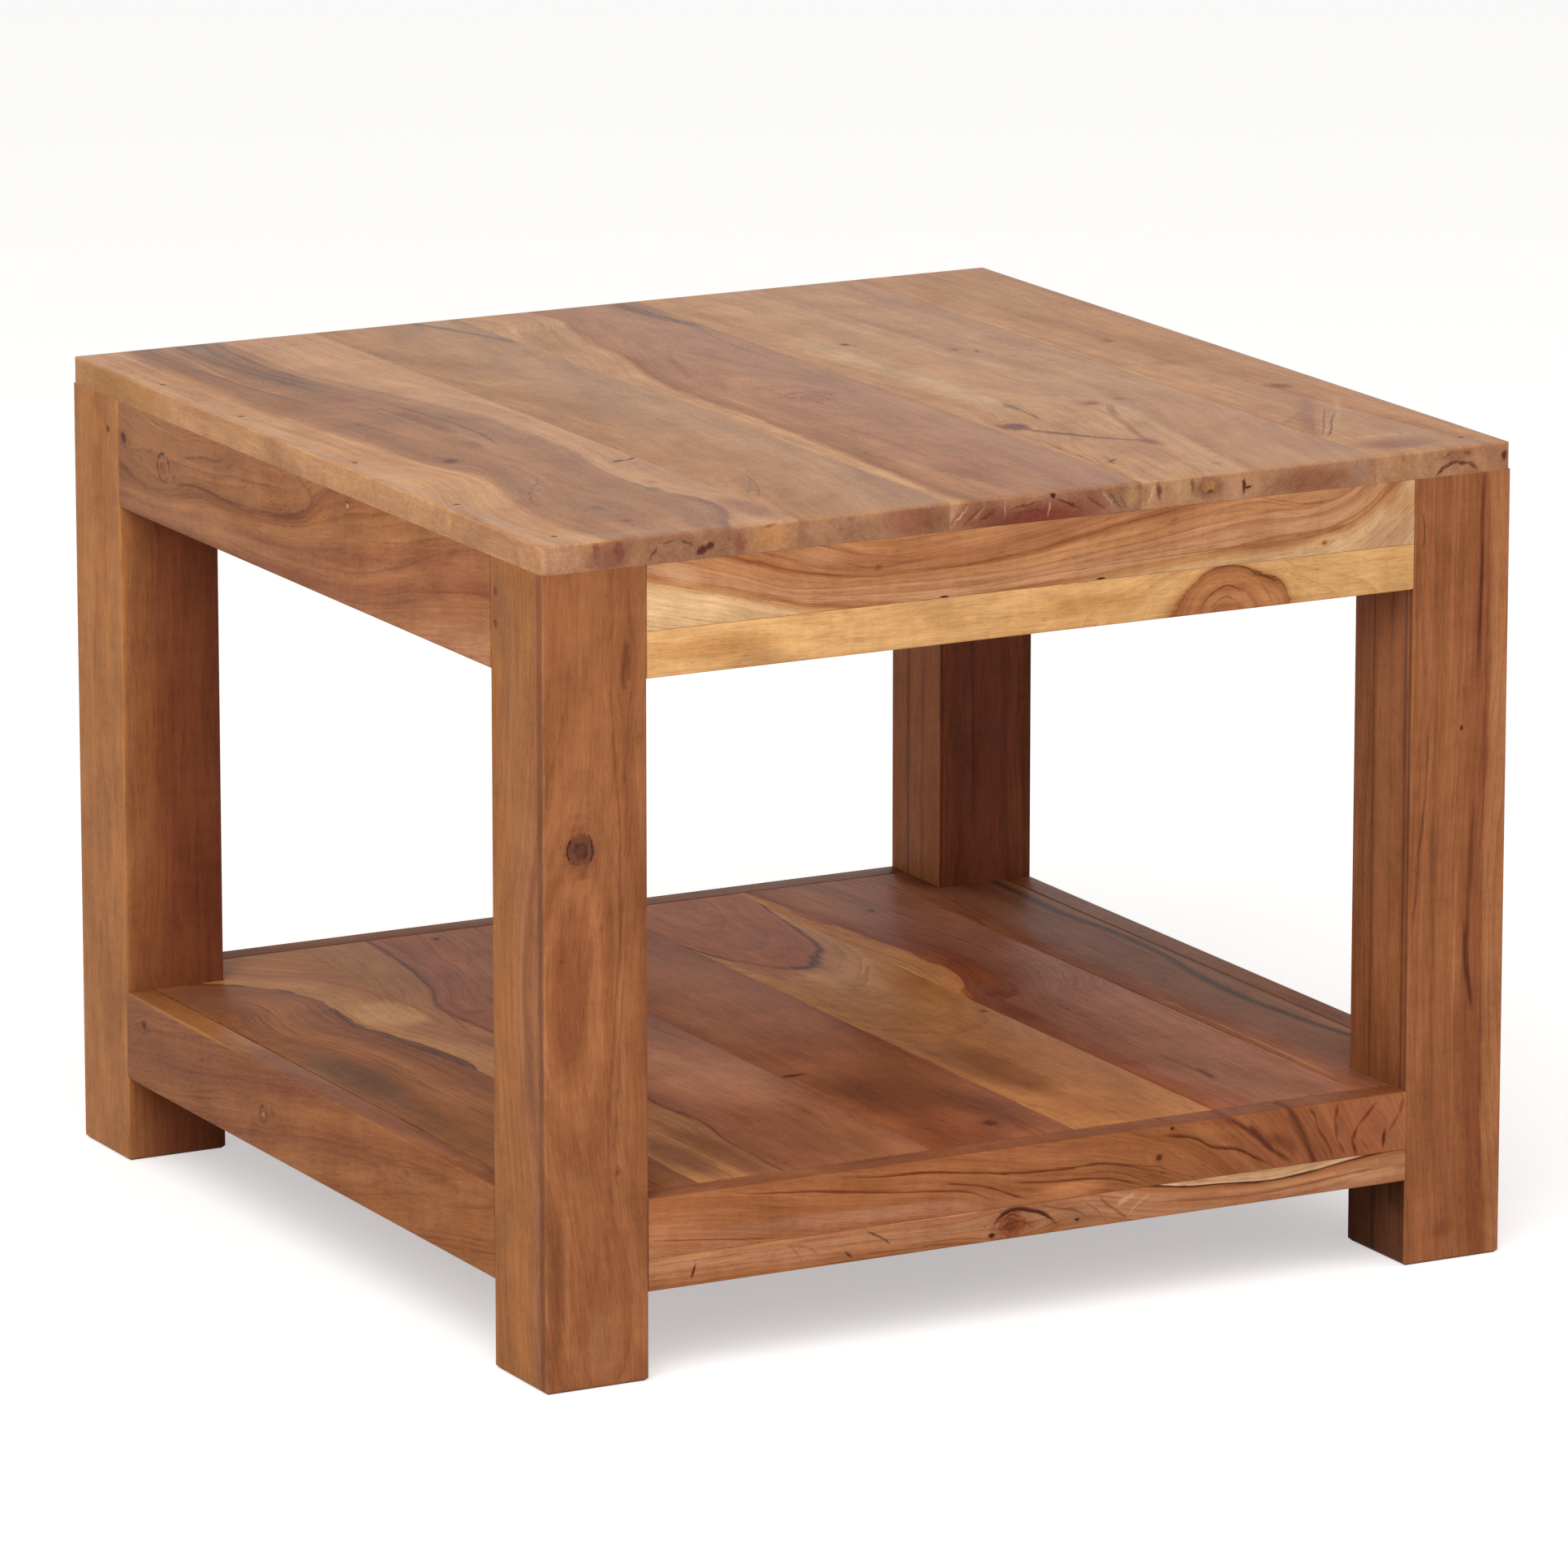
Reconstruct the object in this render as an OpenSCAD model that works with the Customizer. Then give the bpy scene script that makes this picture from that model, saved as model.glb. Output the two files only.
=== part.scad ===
// Square coffee table with a shelf, in solid acacia.
// The origin is on the floor under the middle of the table, +Z up, and the front looks towards -Y.
// Four square legs carry aprons and shelf rails on haunched and plain mortise-and-tenon joints.

/* [Overall size] */
// Width across the front
table_w = 580; // [480:1:760]
// Depth from front to back
table_d = 580; // [480:1:760]
// Height of the tabletop above the floor
table_h = 450; // [380:1:540]

/* [Tabletop] */
// Thickness of the tabletop boards
top_t = 15; // [12:0.5:24]
// Relative widths of the tabletop boards, left to right
top_shares = [148, 89, 115, 143, 85]; // [60:1:220]
// Radius of the tabletop's corners, seen from above
top_corner_r = 4; // [2:0.5:10]
// Radius worked on the tabletop's upper edge
top_edge_r = 2; // [0.5:0.5:4]
// Thickness of the glue line between two boards
glue_line = 0.1; // [0.05:0.05:0.3]

/* [Legs] */
// Side of each square leg
leg_w = 60; // [50:1:70]
// Radius of a leg's long edges
leg_edge_r = 1.5; // [0.5:0.5:4]
// Chamfer round the foot of each leg
foot_chamfer = 2; // [0.5:0.5:5]

/* [Aprons] */
// Height of the aprons under the tabletop
apron_h = 60; // [50:1:90]
// Thickness of the aprons
apron_t = 17; // [15:0.5:24]
// Height of the pale lower stave of the front apron
apron_stave_h = 25; // [15:1:40]

/* [Shelf] */
// Height of the underside of the shelf rails above the floor
rail_z = 48; // [30:1:120]
// Height of the shelf rails
rail_h = 50; // [42:1:80]
// Thickness of the shelf rails
rail_t = 17; // [15:0.5:24]
// Height of the lower stave of the front shelf rail
rail_stave_h = 18; // [14:1:30]
// Thickness of the shelf boards
shelf_t = 15; // [12:0.5:20]
// Relative widths of the shelf boards, left to right
shelf_shares = [110, 111, 88, 86, 89, 66]; // [60:1:120]
// Room left between the shelf boards and the legs and rails round them
shelf_gap = 0.5; // [0.2:0.1:1]

/* [Joinery] */
// Thickness of the tenons
tenon_t = 8; // [6:0.5:10]
// Length of the tenons
tenon_l = 30; // [20:1:38]
// Depth of the shoulder above and below a tenon
shoulder = 8; // [5:0.5:12]
// Height of the haunch at the top of an apron's tenon
haunch_h = 12; // [8:0.5:14]
// Length of the haunch
haunch_l = 8; // [5:0.5:14]
// Room on each side of a tenon in its mortise
mortise_slack = 0.15; // [0.1:0.05:0.3]
// Room for glue past the end of a tenon
glue_room = 1; // [0.5:0.5:3]
// Radius of the edges of aprons and rails
edge_r = 1.5; // [0.5:0.5:3]

/* [Cleats and bearers] */
// Width of the cleats under the shelf
cleat_w = 20; // [16:1:28]
// Height of the cleats under the shelf
cleat_h = 20; // [16:1:24]
// Room at each end of a cleat
cleat_end_gap = 1; // [0.5:0.5:3]
// Width of the bearer across the underside of the shelf
bearer_w = 40; // [30:1:60]
// Room on each side of the bearer in its halvings
halving_slack = 0.2; // [0.1:0.1:0.4]
// Width of the batten across the underside of the tabletop
batten_w = 45; // [30:1:70]
// Height of the batten across the underside of the tabletop
batten_h = 20; // [16:1:28]

/* [Pins, nails and screws] */
// Diameter of the tenon pins
pin_d = 4; // [3:0.5:6]
// Length of the tenon pins
pin_l = 24; // [18:1:32]
// Distance of the back legs' pins from the tenon shoulder
pin_back_inset = 14; // [8:1:18]
// Distance of the front legs' pins from the tenon shoulder
pin_front_inset = 6; // [5:1:18]
// Depth of the upper pins below the top of a leg
pin_upper_drop = 18; // [15:0.5:22]
// Depth of the lower pins below the top of a leg
pin_lower_drop = 35; // [28:0.5:44]
// Diameter of the nails through the tabletop
nail_d = 2; // [1.6:0.1:2.5]
// Diameter of a nail head
nail_head_d = 3.6; // [3:0.1:5]
// Length of the nails
nail_l = 38; // [30:1:45]
// Distance of the side nails from the tabletop's left edge
nail_inset = 10; // [6:0.5:12]
// Distance of the front leg nails from the tabletop's side edges
leg_nail_inset = 18; // [15:0.5:22]
// Distance of the front leg nails from the tabletop's front edge
leg_nail_back = 22; // [18:0.5:26]
// Depth that the nail heads are set below the surface
nail_set = 2; // [1:0.5:4]
// Diameter of the screws
screw_d = 4; // [3:0.5:5]
// Diameter of a countersunk screw head
screw_head_d = 8; // [6:0.5:10]
// Length of the screws
screw_l = 30; // [26:1:32]
// Room round a pin, nail or screw in its hole
hole_slack = 0.05; // [0.02:0.01:0.1]

/* [Hidden] */
$fn = 32;
over = 1; // cuts run past a face by this much

leg_h = table_h - top_t;
leg_in_x = table_w / 2 - leg_w;
leg_in_y = table_d / 2 - leg_w;
apron_z = leg_h - apron_h;
shelf_top = rail_z + rail_h;
shelf_z = shelf_top - shelf_t;
cleat_z = shelf_z - cleat_h;
rail_in_x = table_w / 2 - rail_t;
rail_in_y = table_d / 2 - rail_t;

// Sides of the frame: each is drawn as the front and turned round the middle
FRONT = 0;
RIGHT = 90;
BACK = 180;
LEFT = -90;
function across(side) = side == FRONT || side == BACK;
function span(side) = across(side) ? table_w : table_d;
function reach(side) = (across(side) ? table_d : table_w) / 2;

// Seams between boards, from their relative widths
function total(v, n) = n == 0 ? 0 : v[n - 1] + total(v, n - 1);
function seam(shares, width, i) = width * (total(shares, i) / total(shares, len(shares)) - 0.5);
shelf_w = 2 * (rail_in_x - shelf_gap);
shelf_d = 2 * (rail_in_y - shelf_gap);

// Stretch of an end cleat that a shelf board covers, and the middle of it
cleat_end_x = leg_in_x - cleat_end_gap;
function covered_from(i) = max(seam(shelf_shares, shelf_w, i), -cleat_end_x);
function covered_to(i) = min(seam(shelf_shares, shelf_w, i + 1), cleat_end_x);
function shelf_mid(i) = (covered_from(i) + covered_to(i)) / 2;
function takes_end_screw(i) = covered_to(i) - covered_from(i) > screw_head_d + cleat_end_gap;
function top_mid(i) = (seam(top_shares, table_w, i) + seam(top_shares, table_w, i + 1)) / 2;

// Nails into the left apron, hand spaced, as shares of the depth, and one nail into each front leg
side_nail_shares = [-0.297, -0.086, 0.157, 0.331];
nail_places = concat(
    [for (share = side_nail_shares) [-table_w / 2 + nail_inset, share * table_d]],
    [for (s = [-1, 1]) [s * (table_w / 2 - leg_nail_inset), -table_d / 2 + leg_nail_back]]
);

// Pins through the tenons of the side aprons: end of the table, inset and drop
pin_places = [
    [1, pin_back_inset, pin_upper_drop],
    [-1, pin_front_inset, pin_upper_drop],
    [-1, pin_front_inset, pin_lower_drop]
];

// Screws through the side cleats, as shares of the cleat's length
side_screw_shares = [-0.38, -0.14, 0.14, 0.38];

heartwood = [0.62, 0.39, 0.25];
dark_heartwood = [0.46, 0.28, 0.18];
sapwood = [0.84, 0.64, 0.38];
streaked = [0.70, 0.52, 0.38];
top_colors = [streaked, [0.68, 0.50, 0.37], [0.65, 0.46, 0.34], [0.72, 0.55, 0.40], [0.70, 0.53, 0.40]];
shelf_colors = [dark_heartwood, [0.58, 0.38, 0.26], [0.50, 0.31, 0.21], [0.63, 0.42, 0.24],
    [0.54, 0.36, 0.27], [0.44, 0.31, 0.24]];

// Rectangle round the origin with its four corners rounded by true arcs
module rounded_rect(w, h, r) {
    square([w - 2 * r, h], center = true);
    square([w, h - 2 * r], center = true);
    for (sx = [-1, 1], sy = [-1, 1]) translate([sx * (w / 2 - r), sy * (h / 2 - r)]) circle(r);
}

// Rectangle on the X axis with the corners of one long edge rounded by true arcs
module round_edged(w, h, r, up) {
    translate([-w / 2, up ? 0 : r]) square([w, h - r]);
    translate([-w / 2 + r, 0]) square([w - 2 * r, h]);
    for (s = [-1, 1]) translate([s * (w / 2 - r), up ? h - r : r]) circle(r);
}

module turned(side) {
    rotate([0, 0, side]) children();
}

// Tabletop

// Square below and rounded above, along both directions
module top_panel() {
    translate([0, 0, leg_h]) intersection() {
        linear_extrude(top_t) rounded_rect(table_w, table_d, top_corner_r);
        rotate([90, 0, 0]) linear_extrude(table_d, center = true)
            round_edged(table_w, top_t, top_edge_r, true);
        rotate([90, 0, 90]) linear_extrude(table_w, center = true)
            round_edged(table_d, top_t, top_edge_r, true);
    }
}

module top_board(i) {
    last = len(top_shares) - 1;
    x0 = i == 0 ? -table_w / 2 - over : seam(top_shares, table_w, i) + glue_line / 2;
    x1 = i == last ? table_w / 2 + over : seam(top_shares, table_w, i + 1) - glue_line / 2;
    color(top_colors[i]) difference() {
        intersection() {
            top_panel();
            translate([x0, -table_d / 2 - over, leg_h - over])
                cube([x1 - x0, table_d + 2 * over, top_t + 2 * over]);
        }
        nail_holes();
        batten_screw(i, hole_slack);
    }
}

// Legs, aprons and shelf rails

// Tenons at both ends of an apron or rail on the front, grown for the mortises
module tenons(span, reach, z, h, t, haunched, grow) {
    tenon_end = tenon_l + (grow > 0 ? glue_room : 0);
    tenon_top = z + h - (haunched ? haunch_h : shoulder) + grow;
    haunch_top = z + h + (grow > 0 ? over : 0);
    for (s = [-1, 1]) translate([s * (span / 2 - leg_w), -reach + t / 2, 0]) {
        tongue(s, tenon_end, z + shoulder - grow, tenon_top, grow);
        if (haunched) tongue(s, haunch_l + grow, tenon_top - over, haunch_top, grow);
    }
}

// Block that stands out of a shoulder at the origin and reaches back past it
module tongue(s, length, z0, z1, grow) {
    translate([s * (length - over) / 2, 0, (z0 + z1) / 2])
        cube([length + over, tenon_t + 2 * grow, z1 - z0], center = true);
}

module apron_tenons(side, grow) {
    turned(side) tenons(span(side), reach(side), apron_z, apron_h, apron_t, true, grow);
}

module rail_tenons(side, grow) {
    turned(side) tenons(span(side), reach(side), rail_z, rail_h, rail_t, false, grow);
}

// Straight part of an apron or rail between its shoulders, from its section
module between_shoulders(side, z, t) {
    clear = span(side) - 2 * leg_w;
    turned(side) translate([0, -reach(side) + t / 2, z]) rotate([90, 0, 90])
        linear_extrude(clear, center = true) children();
}

module apron(side) {
    difference() {
        union() {
            between_shoulders(side, apron_z, apron_t) round_edged(apron_t, apron_h, edge_r, false);
            apron_tenons(side, 0);
        }
        if (!across(side)) pin_holes();
        if (side == LEFT) nail_holes();
    }
}

module rail(side) {
    difference() {
        union() {
            between_shoulders(side, rail_z, rail_t)
                translate([0, rail_h / 2]) rounded_rect(rail_t, rail_h, edge_r);
            rail_tenons(side, 0);
        }
        cleat_screw_row(side, hole_slack);
    }
}

// Keeps what lies between two heights
module stave(z0, z1) {
    intersection() {
        children();
        translate([-table_w, -table_d, z0]) cube([2 * table_w, 2 * table_d, z1 - z0]);
    }
}

module foot_profile() {
    half = leg_w / 2;
    polygon([
        [-half + foot_chamfer, 0], [half - foot_chamfer, 0], [half, foot_chamfer],
        [half, leg_h], [-half, leg_h], [-half, foot_chamfer]
    ]);
}

module leg_blank(sx, sy) {
    translate([sx * (table_w - leg_w) / 2, sy * (table_d - leg_w) / 2, 0]) intersection() {
        linear_extrude(leg_h) rounded_rect(leg_w, leg_w, leg_edge_r);
        rotate([90, 0, 0]) linear_extrude(leg_w, center = true) foot_profile();
        rotate([90, 0, 90]) linear_extrude(leg_w, center = true) foot_profile();
    }
}

// sx and sy are the signs of the leg's corner
module leg(sx, sy) {
    color(sy < 0 ? heartwood : dark_heartwood) difference() {
        leg_blank(sx, sy);
        for (side = [sy < 0 ? FRONT : BACK, sx < 0 ? LEFT : RIGHT]) {
            apron_tenons(side, mortise_slack);
            rail_tenons(side, mortise_slack);
        }
        pin_holes();
        if (sy < 0) nail_holes();
    }
}

// Shelf, its cleats and bearer

module shelf_board(i) {
    x0 = seam(shelf_shares, shelf_w, i) + (i == 0 ? 0 : glue_line / 2);
    x1 = seam(shelf_shares, shelf_w, i + 1) - (i == len(shelf_shares) - 1 ? 0 : glue_line / 2);
    notch = leg_w + shelf_gap;
    color(shelf_colors[i]) difference() {
        translate([x0, -shelf_d / 2, shelf_z]) cube([x1 - x0, shelf_d, shelf_t]);
        for (sx = [-1, 1], sy = [-1, 1])
            translate([sx * (table_w - notch) / 2, sy * (table_d - notch) / 2, shelf_z + shelf_t / 2])
                cube([notch, notch, shelf_t + 2 * over], center = true);
        shelf_screws_at(i, hole_slack);
    }
}

// Halving where the bearer's end lies in a side cleat: the bearer keeps the upper half
module halving(slack) {
    halve_z = cleat_z + cleat_h / 2 - slack;
    for (s = [-1, 1])
        translate([s * (rail_in_x - cleat_w / 2), 0, halve_z + cleat_h / 2])
            cube([cleat_w + 2 * over, bearer_w + 2 * slack, cleat_h], center = true);
}

module cleat(side) {
    clear = span(side) - 2 * leg_w - 2 * cleat_end_gap;
    difference() {
        turned(side) translate([-clear / 2, -reach(side) + rail_t, cleat_z]) cube([clear, cleat_w, cleat_h]);
        cleat_screw_row(side, hole_slack);
        if (across(side))
            for (i = [0:len(shelf_shares) - 1]) shelf_screws_at(i, hole_slack);
        else
            halving(halving_slack);
    }
}

module shelf_bearer() {
    color(dark_heartwood) difference() {
        translate([-rail_in_x, -bearer_w / 2, cleat_z]) cube([2 * rail_in_x, bearer_w, cleat_h]);
        for (s = [-1, 1])
            translate([s * (rail_in_x - cleat_w / 2), 0, cleat_z])
                cube([cleat_w + 2 * halving_slack, bearer_w + 2 * over, cleat_h], center = true);
        for (i = [0:len(shelf_shares) - 1]) shelf_screws_at(i, hole_slack);
    }
}

module top_batten() {
    inside = table_w / 2 - apron_t;
    color(heartwood) difference() {
        translate([-inside, -batten_w / 2, leg_h - batten_h]) cube([2 * inside, batten_w, batten_h]);
        for (i = [0:len(top_shares) - 1]) batten_screw(i, hole_slack);
    }
}

// Pins, nails and screws: each is drawn once, and grown by the slack for its hole

// Countersunk screw from the origin up, with its head at the bottom
module screw(slack) {
    head_h = (screw_head_d - screw_d) / 2;
    tip = screw_d;
    if (slack > 0) translate([0, 0, -over]) cylinder(d = screw_head_d + 2 * slack, h = over);
    cylinder(d1 = screw_head_d + 2 * slack, d2 = screw_d + 2 * slack, h = head_h);
    cylinder(d = screw_d + 2 * slack, h = screw_l - tip);
    translate([0, 0, screw_l - tip]) cylinder(d1 = screw_d + 2 * slack, d2 = 1, h = tip);
}

module batten_screw(i, slack) {
    translate([top_mid(i), 0, leg_h - batten_h]) screw(slack);
}

// Screws up into a shelf board: one through the bearer, and one through each end cleat that it covers
module shelf_screws_at(i, slack) {
    rows = takes_end_screw(i) ? [-1, 0, 1] : [0];
    for (row = rows) translate([shelf_mid(i), row * (rail_in_y - cleat_w / 2), cleat_z]) screw(slack);
}

// Screws that go from a cleat's inner face into its rail: those of the end cleats sit under every other seam
module cleat_screw_row(side, slack) {
    clear = span(side) - 2 * leg_w - 2 * cleat_end_gap;
    turn = side == BACK ? -1 : 1;
    places = across(side)
        ? [for (i = [1:2:len(shelf_shares) - 1]) turn * seam(shelf_shares, shelf_w, i)]
        : [for (share = side_screw_shares) share * clear];
    turned(side)
        for (x = places)
            translate([x, -reach(side) + rail_t + cleat_w, cleat_z + cleat_h / 2])
                rotate([90, 0, 0]) screw(slack);
}

module pins(slack) {
    end_room = slack > 0 ? 2 * slack : 0;
    for (sx = [-1, 1], place = pin_places)
        translate([
            sx * (table_w / 2 - pin_l / 2),
            place[0] * (leg_in_y + place[1]),
            leg_h - place[2]
        ]) rotate([0, 90, 0]) cylinder(d = pin_d + 2 * slack, h = pin_l + end_room, center = true);
}

module pin_holes() {
    pins(hole_slack);
}

module nail(place, slack) {
    translate([place[0], place[1], table_h - nail_set - nail_l]) {
        cylinder(d = nail_d + 2 * slack, h = nail_l);
        translate([0, 0, nail_l - nail_d / 2]) cylinder(d = nail_head_d + 2 * slack, h = nail_d / 2);
    }
}

module filler(place, slack) {
    translate([place[0], place[1], table_h - nail_set])
        cylinder(d = nail_head_d + 2 * slack, h = nail_set + (slack > 0 ? over : 0));
}

module nail_holes() {
    for (place = nail_places) {
        nail(place, hole_slack);
        filler(place, hole_slack);
    }
}

module tenon_pins() {
    color(dark_heartwood) pins(0);
}

module top_nails() {
    color("silver") for (place = nail_places) nail(place, 0);
}

module nail_fillers() {
    color([0.60, 0.40, 0.26]) for (place = nail_places) filler(place, 0);
}

module cleat_screws() {
    color("goldenrod") for (side = [FRONT, RIGHT, BACK, LEFT]) cleat_screw_row(side, 0);
}

module shelf_screws() {
    color("goldenrod") for (i = [0:len(shelf_shares) - 1]) shelf_screws_at(i, 0);
}

module batten_screws() {
    color("goldenrod") for (i = [0:len(top_shares) - 1]) batten_screw(i, 0);
}

module apron_front_upper() {
    color(heartwood) stave(apron_z + apron_stave_h + glue_line / 2, table_h) apron(FRONT);
}

module apron_front_lower() {
    color(sapwood) stave(0, apron_z + apron_stave_h - glue_line / 2) apron(FRONT);
}

module rail_front_upper() {
    color(heartwood) stave(rail_z + rail_stave_h + glue_line / 2, table_h) rail(FRONT);
}

module rail_front_lower() {
    color([0.66, 0.43, 0.27]) stave(0, rail_z + rail_stave_h - glue_line / 2) rail(FRONT);
}

top_board(0);  // top_board_1
top_board(1);  // top_board_2
top_board(2);  // top_board_3
top_board(3);  // top_board_4
top_board(4);  // top_board_5
leg(-1, -1);  // leg_front_left
leg(1, -1);  // leg_front_right
leg(-1, 1);  // leg_back_left
leg(1, 1);  // leg_back_right
apron_front_upper();
apron_front_lower();
color(heartwood) apron(BACK);  // apron_back
color(heartwood) apron(LEFT);  // apron_left
color(heartwood) apron(RIGHT);  // apron_right
rail_front_upper();
rail_front_lower();
color(heartwood) rail(BACK);  // rail_back
color(heartwood) rail(LEFT);  // rail_left
color(heartwood) rail(RIGHT);  // rail_right
shelf_board(0);  // shelf_board_1
shelf_board(1);  // shelf_board_2
shelf_board(2);  // shelf_board_3
shelf_board(3);  // shelf_board_4
shelf_board(4);  // shelf_board_5
shelf_board(5);  // shelf_board_6
color(dark_heartwood) cleat(FRONT);  // cleat_front
color(dark_heartwood) cleat(BACK);  // cleat_back
color(dark_heartwood) cleat(LEFT);  // cleat_left
color(dark_heartwood) cleat(RIGHT);  // cleat_right
shelf_bearer();
top_batten();
tenon_pins();
top_nails();
nail_fillers();
cleat_screws();
shelf_screws();
batten_screws();
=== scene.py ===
# Square acacia coffee table with a shelf: the wood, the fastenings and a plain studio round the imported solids.
# Figures are drawn in millimetres, in the table's own frame: +X right, +Y back, +Z up from the floor.
import math

import bmesh
import bpy
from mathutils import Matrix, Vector


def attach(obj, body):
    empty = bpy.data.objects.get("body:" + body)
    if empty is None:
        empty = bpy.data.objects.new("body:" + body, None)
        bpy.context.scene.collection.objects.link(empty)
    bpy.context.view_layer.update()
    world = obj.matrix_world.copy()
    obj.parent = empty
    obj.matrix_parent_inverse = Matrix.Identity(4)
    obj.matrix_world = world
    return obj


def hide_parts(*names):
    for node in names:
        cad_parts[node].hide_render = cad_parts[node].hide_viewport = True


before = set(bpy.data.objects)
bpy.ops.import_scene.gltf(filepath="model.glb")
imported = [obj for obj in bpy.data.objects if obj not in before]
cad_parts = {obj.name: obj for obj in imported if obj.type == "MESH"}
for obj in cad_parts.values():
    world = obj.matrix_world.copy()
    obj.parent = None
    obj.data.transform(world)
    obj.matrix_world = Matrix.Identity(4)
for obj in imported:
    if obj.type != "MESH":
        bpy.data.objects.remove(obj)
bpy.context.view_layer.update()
scene = bpy.context.scene
scene.view_settings.view_transform = "Standard"

TABLE = 290.0  # from the middle to each side of the table
INNER = 230.0  # from the middle to the inner faces of the legs
TOP = 450.0
SHELF = 98.0


# Nodes

def linear(code):
    """sRGB hex code to linear RGBA."""
    channels = [int(code[i:i + 2], 16) / 255 for i in (1, 3, 5)]
    return [c / 12.92 if c <= 0.04045 else ((c + 0.055) / 1.055) ** 2.4 for c in channels] + [1.0]


def add(tree, kind, feeds=(), curve=(), **settings):
    """Adds a node: settings are its properties, feeds the values or links of its open sockets, curve its points."""
    prefixes = ("ShaderNode", "GeometryNode", "FunctionNode", "Node")
    node = tree.nodes.new(next(prefix + kind for prefix in prefixes if hasattr(bpy.types, prefix + kind)))
    for key, value in settings.items():
        setattr(node, key, value)
    for key, feed in feeds.items() if isinstance(feeds, dict) else enumerate(feeds):
        sockets = [s for s in node.inputs if s.enabled]
        target = sockets[key] if isinstance(key, int) else next(s for s in sockets if s.name == key)
        for part in feed if target.is_multi_input else [feed]:
            if isinstance(part, bpy.types.Node):
                part = next(s for s in part.outputs if s.enabled)
            if isinstance(part, bpy.types.NodeSocket):
                tree.links.new(part, target)
            elif part is not None:
                target.default_value = part
    if curve:
        node.mapping.use_clip = False
        node.mapping.extend = "HORIZONTAL"
        drawn = node.mapping.curves[0].points
        first, *between, last = sorted(curve)
        drawn[0].location, drawn[1].location = first, last
        for point in between:
            drawn.new(*point)
        node.mapping.update()
    return node


def blank(owner):
    """The node tree of a material or a world, emptied."""
    owner.use_nodes = True
    owner.node_tree.nodes.clear()
    return owner.node_tree


def new_group(name, takes, gives, kind="ShaderNodeTree"):
    """An empty group of nodes, and the sockets that feed it."""
    tree = bpy.data.node_groups.new(name, kind)
    for side, sockets in (("INPUT", takes), ("OUTPUT", gives)):
        for label, kind in sockets.items():
            tree.interface.new_socket(label, in_out=side, socket_type="NodeSocket" + kind)
    return tree, add(tree, "GroupInput").outputs


# Parts of the wood's figure, in millimetres along the grain, across it and below the face

def make_knot():
    """Fibres that swing aside round a knot, and the round core of the knot itself."""
    tree, g = new_group(
        "knot",
        {"Grain": "Vector", "Centre": "Vector", "Radius": "Float", "Swing": "Float"},
        {"Grain": "Vector", "Core": "Float", "Ring": "Float"},
    )
    away = add(tree, "VectorMath", [g["Grain"], g["Centre"]], operation="SUBTRACT")
    long = add(tree, "VectorMath", [away, (0.42, 1, 0)], operation="MULTIPLY")
    reach = add(tree, "VectorMath", [long], operation="LENGTH")
    near = add(tree, "MapRange", [reach, 0, g["Swing"], 0.93, 0], interpolation_type="SMOOTHSTEP")
    across = add(tree, "VectorMath", [away, (0, 1, 0)], operation="MULTIPLY")
    shift = add(tree, "VectorMath", {"Vector": across, "Scale": near}, operation="SCALE")
    swung = add(tree, "VectorMath", [g["Grain"], shift], operation="SUBTRACT")
    round_ = add(tree, "VectorMath", [away, (0.8, 1, 0)], operation="MULTIPLY")
    size = add(tree, "VectorMath", [round_], operation="LENGTH")
    ring = add(tree, "Math", [size, g["Radius"]], operation="DIVIDE")
    # The rim is lobed, never a drawn circle
    lobes = add(tree, "TexNoise", {"Vector": away, "Scale": 0.28, "Detail": 2.0, "Roughness": 0.6})
    ring = add(tree, "Math", [ring, add(tree, "MapRange", [lobes, 0.25, 0.75, 0.6, 1.4])], operation="MULTIPLY")
    core = add(tree, "MapRange", [ring, 1.15, 0.8, 0, 1], interpolation_type="SMOOTHSTEP")
    add(tree, "GroupOutput", [swung, core, ring])
    return tree


def make_streak():
    """A line of colour along a path, between two places along the grain, with a soft side of its own width each way."""
    names = ("Across", "Along", "Path", "From", "To", "Low", "High", "Fade")
    tree, g = new_group("streak", {name: "Float" for name in names}, {"Mask": "Float"})
    off = add(tree, "Math", [g["Across"], g["Path"]], operation="SUBTRACT")
    low = add(tree, "Math", [g["Low"], -1], operation="MULTIPLY")
    rise = add(tree, "MapRange", [off, low, 0, 0, 1], interpolation_type="SMOOTHSTEP")
    fall = add(tree, "MapRange", [off, 0, g["High"], 1, 0], interpolation_type="SMOOTHSTEP")
    band = add(tree, "Math", [rise, fall], operation="MULTIPLY")
    start = add(tree, "Math", [g["Along"], g["From"]], operation="SUBTRACT")
    end = add(tree, "Math", [g["To"], g["Along"]], operation="SUBTRACT")
    inside = add(tree, "Math", [start, end], operation="MINIMUM")
    ends = add(tree, "MapRange", [inside, 0, g["Fade"], 0, 1], interpolation_type="SMOOTHSTEP")
    add(tree, "GroupOutput", [add(tree, "Math", [band, ends], operation="MULTIPLY")])
    return tree


def make_patch():
    """A soft-edged oval, turned on the face."""
    tree, g = new_group(
        "patch",
        {"Grain": "Vector", "Centre": "Vector", "Turn": "Vector", "Size": "Vector", "Core": "Float"},
        {"Mask": "Float"},
    )
    local = add(tree, "Mapping", [g["Grain"], g["Centre"], g["Turn"], g["Size"]], vector_type="TEXTURE")
    flat = add(tree, "VectorMath", [local, (1, 1, 0)], operation="MULTIPLY")
    size = add(tree, "VectorMath", [flat], operation="LENGTH")
    mask = add(tree, "MapRange", [size, g["Core"], 1, 1, 0], interpolation_type="SMOOTHSTEP")
    add(tree, "GroupOutput", [mask])
    return tree


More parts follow.
